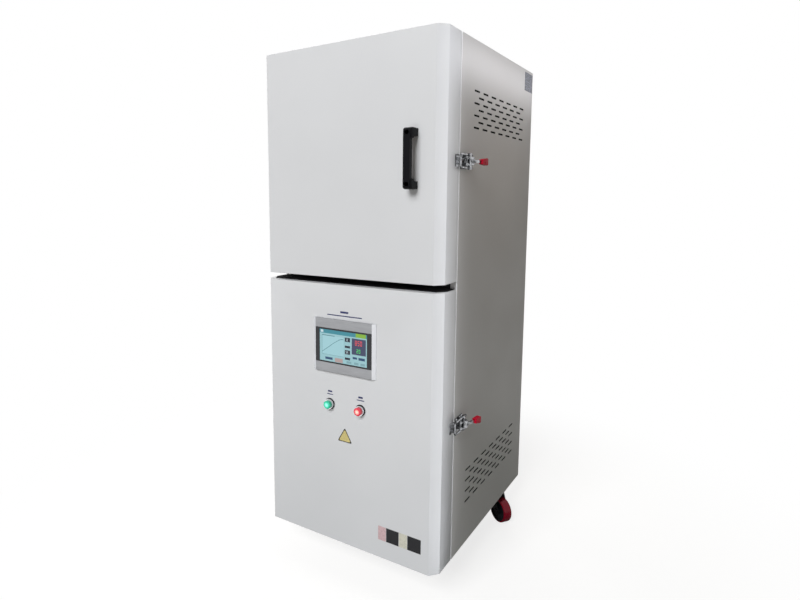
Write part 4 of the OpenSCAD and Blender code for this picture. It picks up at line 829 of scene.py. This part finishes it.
def fasteners(name, places, facing, size, body, material=screw_steel):
    """Heads of one radius and height at places given in millimetres, all facing one way."""
    points = bpy.data.meshes.new(f"{name}_points")
    points.from_pydata([at(*place) for place in places], [], [])
    marks = points.attributes.new("facing", "FLOAT_VECTOR", "POINT")
    for mark in marks.data:
        mark.vector = facing
    carrier = bpy.data.objects.new(f"{name}_points", points)
    bpy.context.scene.collection.objects.link(carrier)
    modifier = carrier.modifiers.new("heads", "NODES")
    modifier.node_group = screw_heads
    radius, height = size
    values = {"Head Radius": radius / 1000, "Head Height": height / 1000, "Material": material}
    for socket in screw_heads.interface.items_tree:
        if socket.in_out == "INPUT" and socket.name in values:
            modifier[socket.identifier] = values[socket.name]
    mesh = bpy.data.meshes.new_from_object(carrier.evaluated_get(bpy.context.evaluated_depsgraph_get()))
    bpy.data.objects.remove(carrier)
    mesh.name = name
    as_object(name, mesh, body)


def around(x, z, count_x, count_z):
    """Places along the edges of a rectangle from its half sizes about (0, 0)."""
    flat = [(x * (2 * step / (count_x - 1) - 1), side * z) for step in range(count_x) for side in (-1, 1)]
    upright = [(side * x, z * (2 * step / (count_z - 1) - 1)) for step in range(1, count_z - 1)
               for side in (-1, 1)]
    return flat + upright


base_half, base_margin, base_sheet, base_screw_z = 19, 6, 3, 14
catch_margin, catch_sheet, catch_screw_z = 4.5, 2.5, 9.5
base_low, base_high = millimetres("clamp_bases")
clamp_levels = {"lower": base_low[2] + base_half, "upper": base_high[2] - base_half}
base_rows = (base_low[1] + base_margin, base_high[1] - base_margin)
fasteners("clamp_base_screws", [(half_width + base_sheet, y, level + side * base_screw_z)
                                for level in clamp_levels.values() for y in base_rows for side in (-1, 1)],
          (1, 0, 0), base_screw, "cabinet")
for name, level in clamp_levels.items():
    catch_y = millimetres(f"{name}_door_catch")[1][1] - catch_margin
    fasteners(f"{name}_catch_screws", [(half_width + catch_sheet, catch_y, level + side * catch_screw_z)
                                       for side in (-1, 1)], (1, 0, 0), catch_screw, f"{name}_door")

thread_pitch, thread_turns, rod_z = 0.9, 8, 16
behind_nuts, before_nuts = 0, 25
for name in ("upper", "lower"):
    hook_low, hook_high = millimetres(f"{name}_clamp_hook")
    hook_x, hook_z = ((hook_low[axis] + hook_high[axis]) / 2 for axis in (0, 2))
    turns = [hook_high[1] - start - thread_pitch * (turn + 1) for start in (behind_nuts, before_nuts)
             for turn in range(thread_turns)]
    fasteners(f"{name}_hook_threads",
              [(hook_x, y, hook_z + side * rod_z) for y in turns for side in (-1, 1)], (0, 1, 0),
              thread_turn, f"{name}_clamp_hook", plating_with_painted_reflection)

edge_x, edge_z = half_width - 9, 26
case_low, case_high = millimetres("right_side_panel")
rear_y, roof_z = case_high[1], case_high[2]


def upright_rows(name, y, turned, count, size):
    """Two upright rows of screws along the cabinet's edges, at its front or its back."""
    fasteners(name, [(x, y, roof_z / 2 + z) for x, z in around(edge_x, roof_z / 2 - edge_z, 2, count)],
              (0, turned, 0), size, "cabinet")


upright_rows("rear_panel_screws", rear_y, 1, 7, rear_screw)
flue_margin, flue_sheet = 8, 2
flue_low, flue_high = millimetres("exhaust_flue")
flue_x, flue_z = (flue_low[0] + flue_high[0]) / 2, (flue_low[2] + flue_high[2]) / 2
flue_circle = (flue_high[0] - flue_low[0]) / 2 - flue_margin
fasteners("flue_screws", [(flue_x + flue_circle * math.cos(turn), rear_y + flue_sheet,
                           flue_z + flue_circle * math.sin(turn))
                          for turn in (math.radians(45 + 90 * quarter) for quarter in range(4))],
          (0, 1, 0), flue_screw, "cabinet")
upright_rows("fascia_screws", case_low[1], -1, 8, fascia_screw)

mount_margin_x, mount_margin_z = 12, 14
mount_low, mount_high = millimetres("mounting_plate")
fasteners("mounting_plate_screws",
          [(side * (mount_high[0] - mount_margin_x), mount_low[1], z) for side in (-1, 1)
           for z in (mount_low[2] + mount_margin_z, mount_high[2] - mount_margin_z)],
          (0, -1, 0), plate_screw, "cabinet")

back_margin = 8
leaf_sheet, leaf_rows, door_leaf_y, cabinet_leaf_y = 4, (12, 78), 9, 24
for name in ("upper", "lower"):
    back_low, back_high = millimetres(f"{name}_door_back")
    middle_z, half_z = (back_low[2] + back_high[2]) / 2, (back_high[2] - back_low[2]) / 2
    back_places = [(x, back_high[1], middle_z + z)
                   for x, z in around(back_high[0] - back_margin, half_z - back_margin, 4, 5)]
    fasteners(f"{name}_door_back_screws", back_places, (0, 1, 0), back_screw, f"{name}_door")
    leaf_low, leaf_high = millimetres(f"{name}_door_hinges")
    for end, end_z, sign in (("low", leaf_low[2], 1), ("high", leaf_high[2], -1)):
        for row_name, y, body in (("hinge", leaf_low[1] + door_leaf_y, f"{name}_door"),
                                  ("leaf", leaf_high[1] + cabinet_leaf_y, "cabinet")):
            fasteners(f"{name}_{row_name}_screws_{end}",
                      [(-half_width - leaf_sheet, y, end_z + sign * depth) for depth in leaf_rows],
                      (-1, 0, 0), hinge_screw, body)

castor_spots = ((220, 226), (240, 574))
bolt_x, bolt_y, bolt_z = 22, 33, -4
fasteners("castor_bolts", [(side * x + dx, y + dy, bolt_z) for side in (-1, 1) for x, y in castor_spots
                           for dx in (-bolt_x, bolt_x) for dy in (-bolt_y, bolt_y)],
          (0, 0, -1), castor_bolt, "cabinet")

# Studio
# A pale floor keeps the object's shadow and fades into white surroundings; a high soft
# key stands before the doors, and dim lamps stand close to the right side's edges.
floor_half, shadow_reach, fade_end = 60, 0.7, 1.5
floor_lift = 0.77
floor_paint, floor_tree, floor_shader = finish("studio_floor", (0.31, 0.305, 0.295), 0.9)
floor_shader.inputs["Specular IOR Level"].default_value = 0.0
rays = made_node(floor_tree, "ShaderNodeLightPath")
white = made_node(floor_tree, "ShaderNodeEmission")
dim = made_node(floor_tree, "ShaderNodeBsdfDiffuse", Color=(0.32, 0.29, 0.26, 1))
far_floor = made_node(floor_tree, "ShaderNodeMixShader")
seen = reckoned(floor_tree, "MAXIMUM", rays.outputs["Is Camera Ray"], rays.outputs["Is Glossy Ray"])
floor_tree.links.new(seen, far_floor.inputs["Fac"])
floor_tree.links.new(dim.outputs["BSDF"], far_floor.inputs[1])
floor_tree.links.new(white.outputs["Emission"], far_floor.inputs[2])
near_floor = made_node(floor_tree, "ShaderNodeAddShader")
lift = made_node(floor_tree, "ShaderNodeEmission")
floor_tree.links.new(reckoned(floor_tree, "MULTIPLY", rays.outputs["Is Camera Ray"], floor_lift),
                     lift.inputs["Strength"])
floor_tree.links.new(floor_shader.outputs["BSDF"], near_floor.inputs[0])
floor_tree.links.new(lift.outputs["Emission"], near_floor.inputs[1])
reach = made_node(floor_tree, "ShaderNodeVectorMath", operation="LENGTH")
floor_tree.links.new(floor_tree.nodes["place"].outputs["Object"], reach.inputs[0])
fade = made_node(floor_tree, "ShaderNodeMapRange", interpolation_type="SMOOTHSTEP")
fade.inputs["From Min"].default_value = shadow_reach
fade.inputs["From Max"].default_value = fade_end
floor_tree.links.new(reach.outputs["Value"], fade.inputs["Value"])
whole_floor = made_node(floor_tree, "ShaderNodeMixShader")
floor_tree.links.new(fade.outputs["Result"], whole_floor.inputs["Fac"])
floor_tree.links.new(near_floor.outputs["Shader"], whole_floor.inputs[1])
floor_tree.links.new(far_floor.outputs["Shader"], whole_floor.inputs[2])
floor_tree.links.new(whole_floor.outputs["Shader"], floor_tree.nodes["Material Output"].inputs["Surface"])
floor_shape = bmesh.new()
bmesh.ops.create_grid(floor_shape, x_segments=8, y_segments=8, size=floor_half)
floor_mesh = bpy.data.meshes.new("studio_floor")
floor_shape.to_mesh(floor_mesh)
floor_shape.free()
floor_mesh.materials.append(floor_paint)
floor = bpy.data.objects.new("studio_floor", floor_mesh)
bpy.context.scene.collection.objects.link(floor)

world = bpy.data.worlds.new("studio")
bpy.context.scene.world = world
world.use_nodes = True
sky = world.node_tree
ambient = sky.nodes["Background"]
ambient.inputs["Color"].default_value = (1.0, 0.95, 0.89, 1)
ambient.inputs["Strength"].default_value = 0.04
bright = made_node(sky, "ShaderNodeBackground", Color=(1, 1, 1, 1), Strength=1.0)
rays = made_node(sky, "ShaderNodeLightPath")
seen = reckoned(sky, "MAXIMUM", rays.outputs["Is Camera Ray"], rays.outputs["Is Glossy Ray"])
seen = reckoned(sky, "MAXIMUM", seen, rays.outputs["Is Transmission Ray"])
sky_mix = made_node(sky, "ShaderNodeMixShader")
sky.links.new(seen, sky_mix.inputs["Fac"])
sky.links.new(ambient.outputs["Background"], sky_mix.inputs[1])
sky.links.new(bright.outputs["Background"], sky_mix.inputs[2])
sky.links.new(sky_mix.outputs["Shader"], sky.nodes["World Output"].inputs["Surface"])


def lamp(name, place, aim, watts, wide, high, colour, in_reflections=False):
    """A rectangular lamp at a place in metres, turned towards another."""
    light = bpy.data.lights.new(name, "AREA")
    light.energy = watts
    light.shape = "RECTANGLE"
    light.size = wide
    light.size_y = high
    light.color = colour
    thing = bpy.data.objects.new(name, light)
    thing.location = place
    thing.rotation_euler = (Vector(aim) - Vector(place)).to_track_quat("-Z", "Y").to_euler()
    thing.visible_glossy = in_reflections
    bpy.context.scene.collection.objects.link(thing)


def side_lamp(name, off, back, height, drop, watts, wide, high, colour):
    """A lamp in front of the right side, looking straight at it or a little down."""
    side, along = at(half_width, 0, 0).x, at(0, 0, 0).y + back
    lamp(name, (side + off, along, height), (side, along, height - drop), watts, wide, high, colour)


roof_height = at(0, 0, 1380).z
lamp("key_lamp", (0.2, -10.0, 7.3), (0, -0.3, 0.75), 1270, 5.2, 5.2, (0.975, 0.985, 1.0))
lamp("back_lamp", (-1.5, 4.2, 2.0), (0, 0.3, 0.8), 90, 3.0, 3.0, (1, 1, 1), in_reflections=True)
lamp("left_lamp", (-4.2, 0.7, 1.4), (0, 0.1, 0.75), 60, 3.0, 3.0, (1, 1, 1))
lamp("fill_lamp", (1.7, 0.1, 0.1), (0.28, 0.0, 0.1), 1.15, 0.9, 0.5, (0.86, 1.0, 0.90))
lamp("low_front_lamp", (0.1, -2.9, 0.2), (0, -0.35, 0.2), 8.5, 1.2, 0.5, (0.88, 0.96, 1.0))
side_lamp("roof_edge_lamp", 0.09, 0.40, roof_height - 0.05, 0, 0.32, 0.7, 0.05, (0.93, 0.94, 1.0))
side_lamp("front_edge_lamp", 0.08, 0.008, 0.83, 0, 0.43, 0.03, 1.5, (0.93, 0.95, 1.0))
side_lamp("warm_side_lamp", 0.36, 0.40, 1.27, 0.05, 0.17, 0.5, 0.25, (1.0, 0.84, 0.72))

# Camera
# Stands to the right of the doors at chest height and looks slightly down, as the
# photograph does; its shift is the photograph's crop.
camera_place = at(855.59, -1306.05, 976.32)
yaw, pitch, roll = (math.radians(angle) for angle in (34.855, -7.307, -0.363))
forward = Vector((-math.sin(yaw) * math.cos(pitch), math.cos(yaw) * math.cos(pitch), math.sin(pitch)))
right = Vector((math.cos(yaw), math.sin(yaw), 0))
up = right.cross(forward)
turned_right = math.cos(roll) * right + math.sin(roll) * up
turned_up = -math.sin(roll) * right + math.cos(roll) * up
camera_data = bpy.data.cameras.new("camera")
camera_data.sensor_width = 36
camera_data.lens = 26.30
camera_data.shift_x = 0.0904
camera_data.shift_y = -0.03175
camera = bpy.data.objects.new("camera", camera_data)
camera.matrix_world = Matrix.Translation(camera_place) @ Matrix(
    (turned_right, turned_up, -forward)).transposed().to_4x4()
bpy.context.scene.collection.objects.link(camera)
bpy.context.scene.camera = camera
bpy.context.scene.view_settings.view_transform = "Standard"
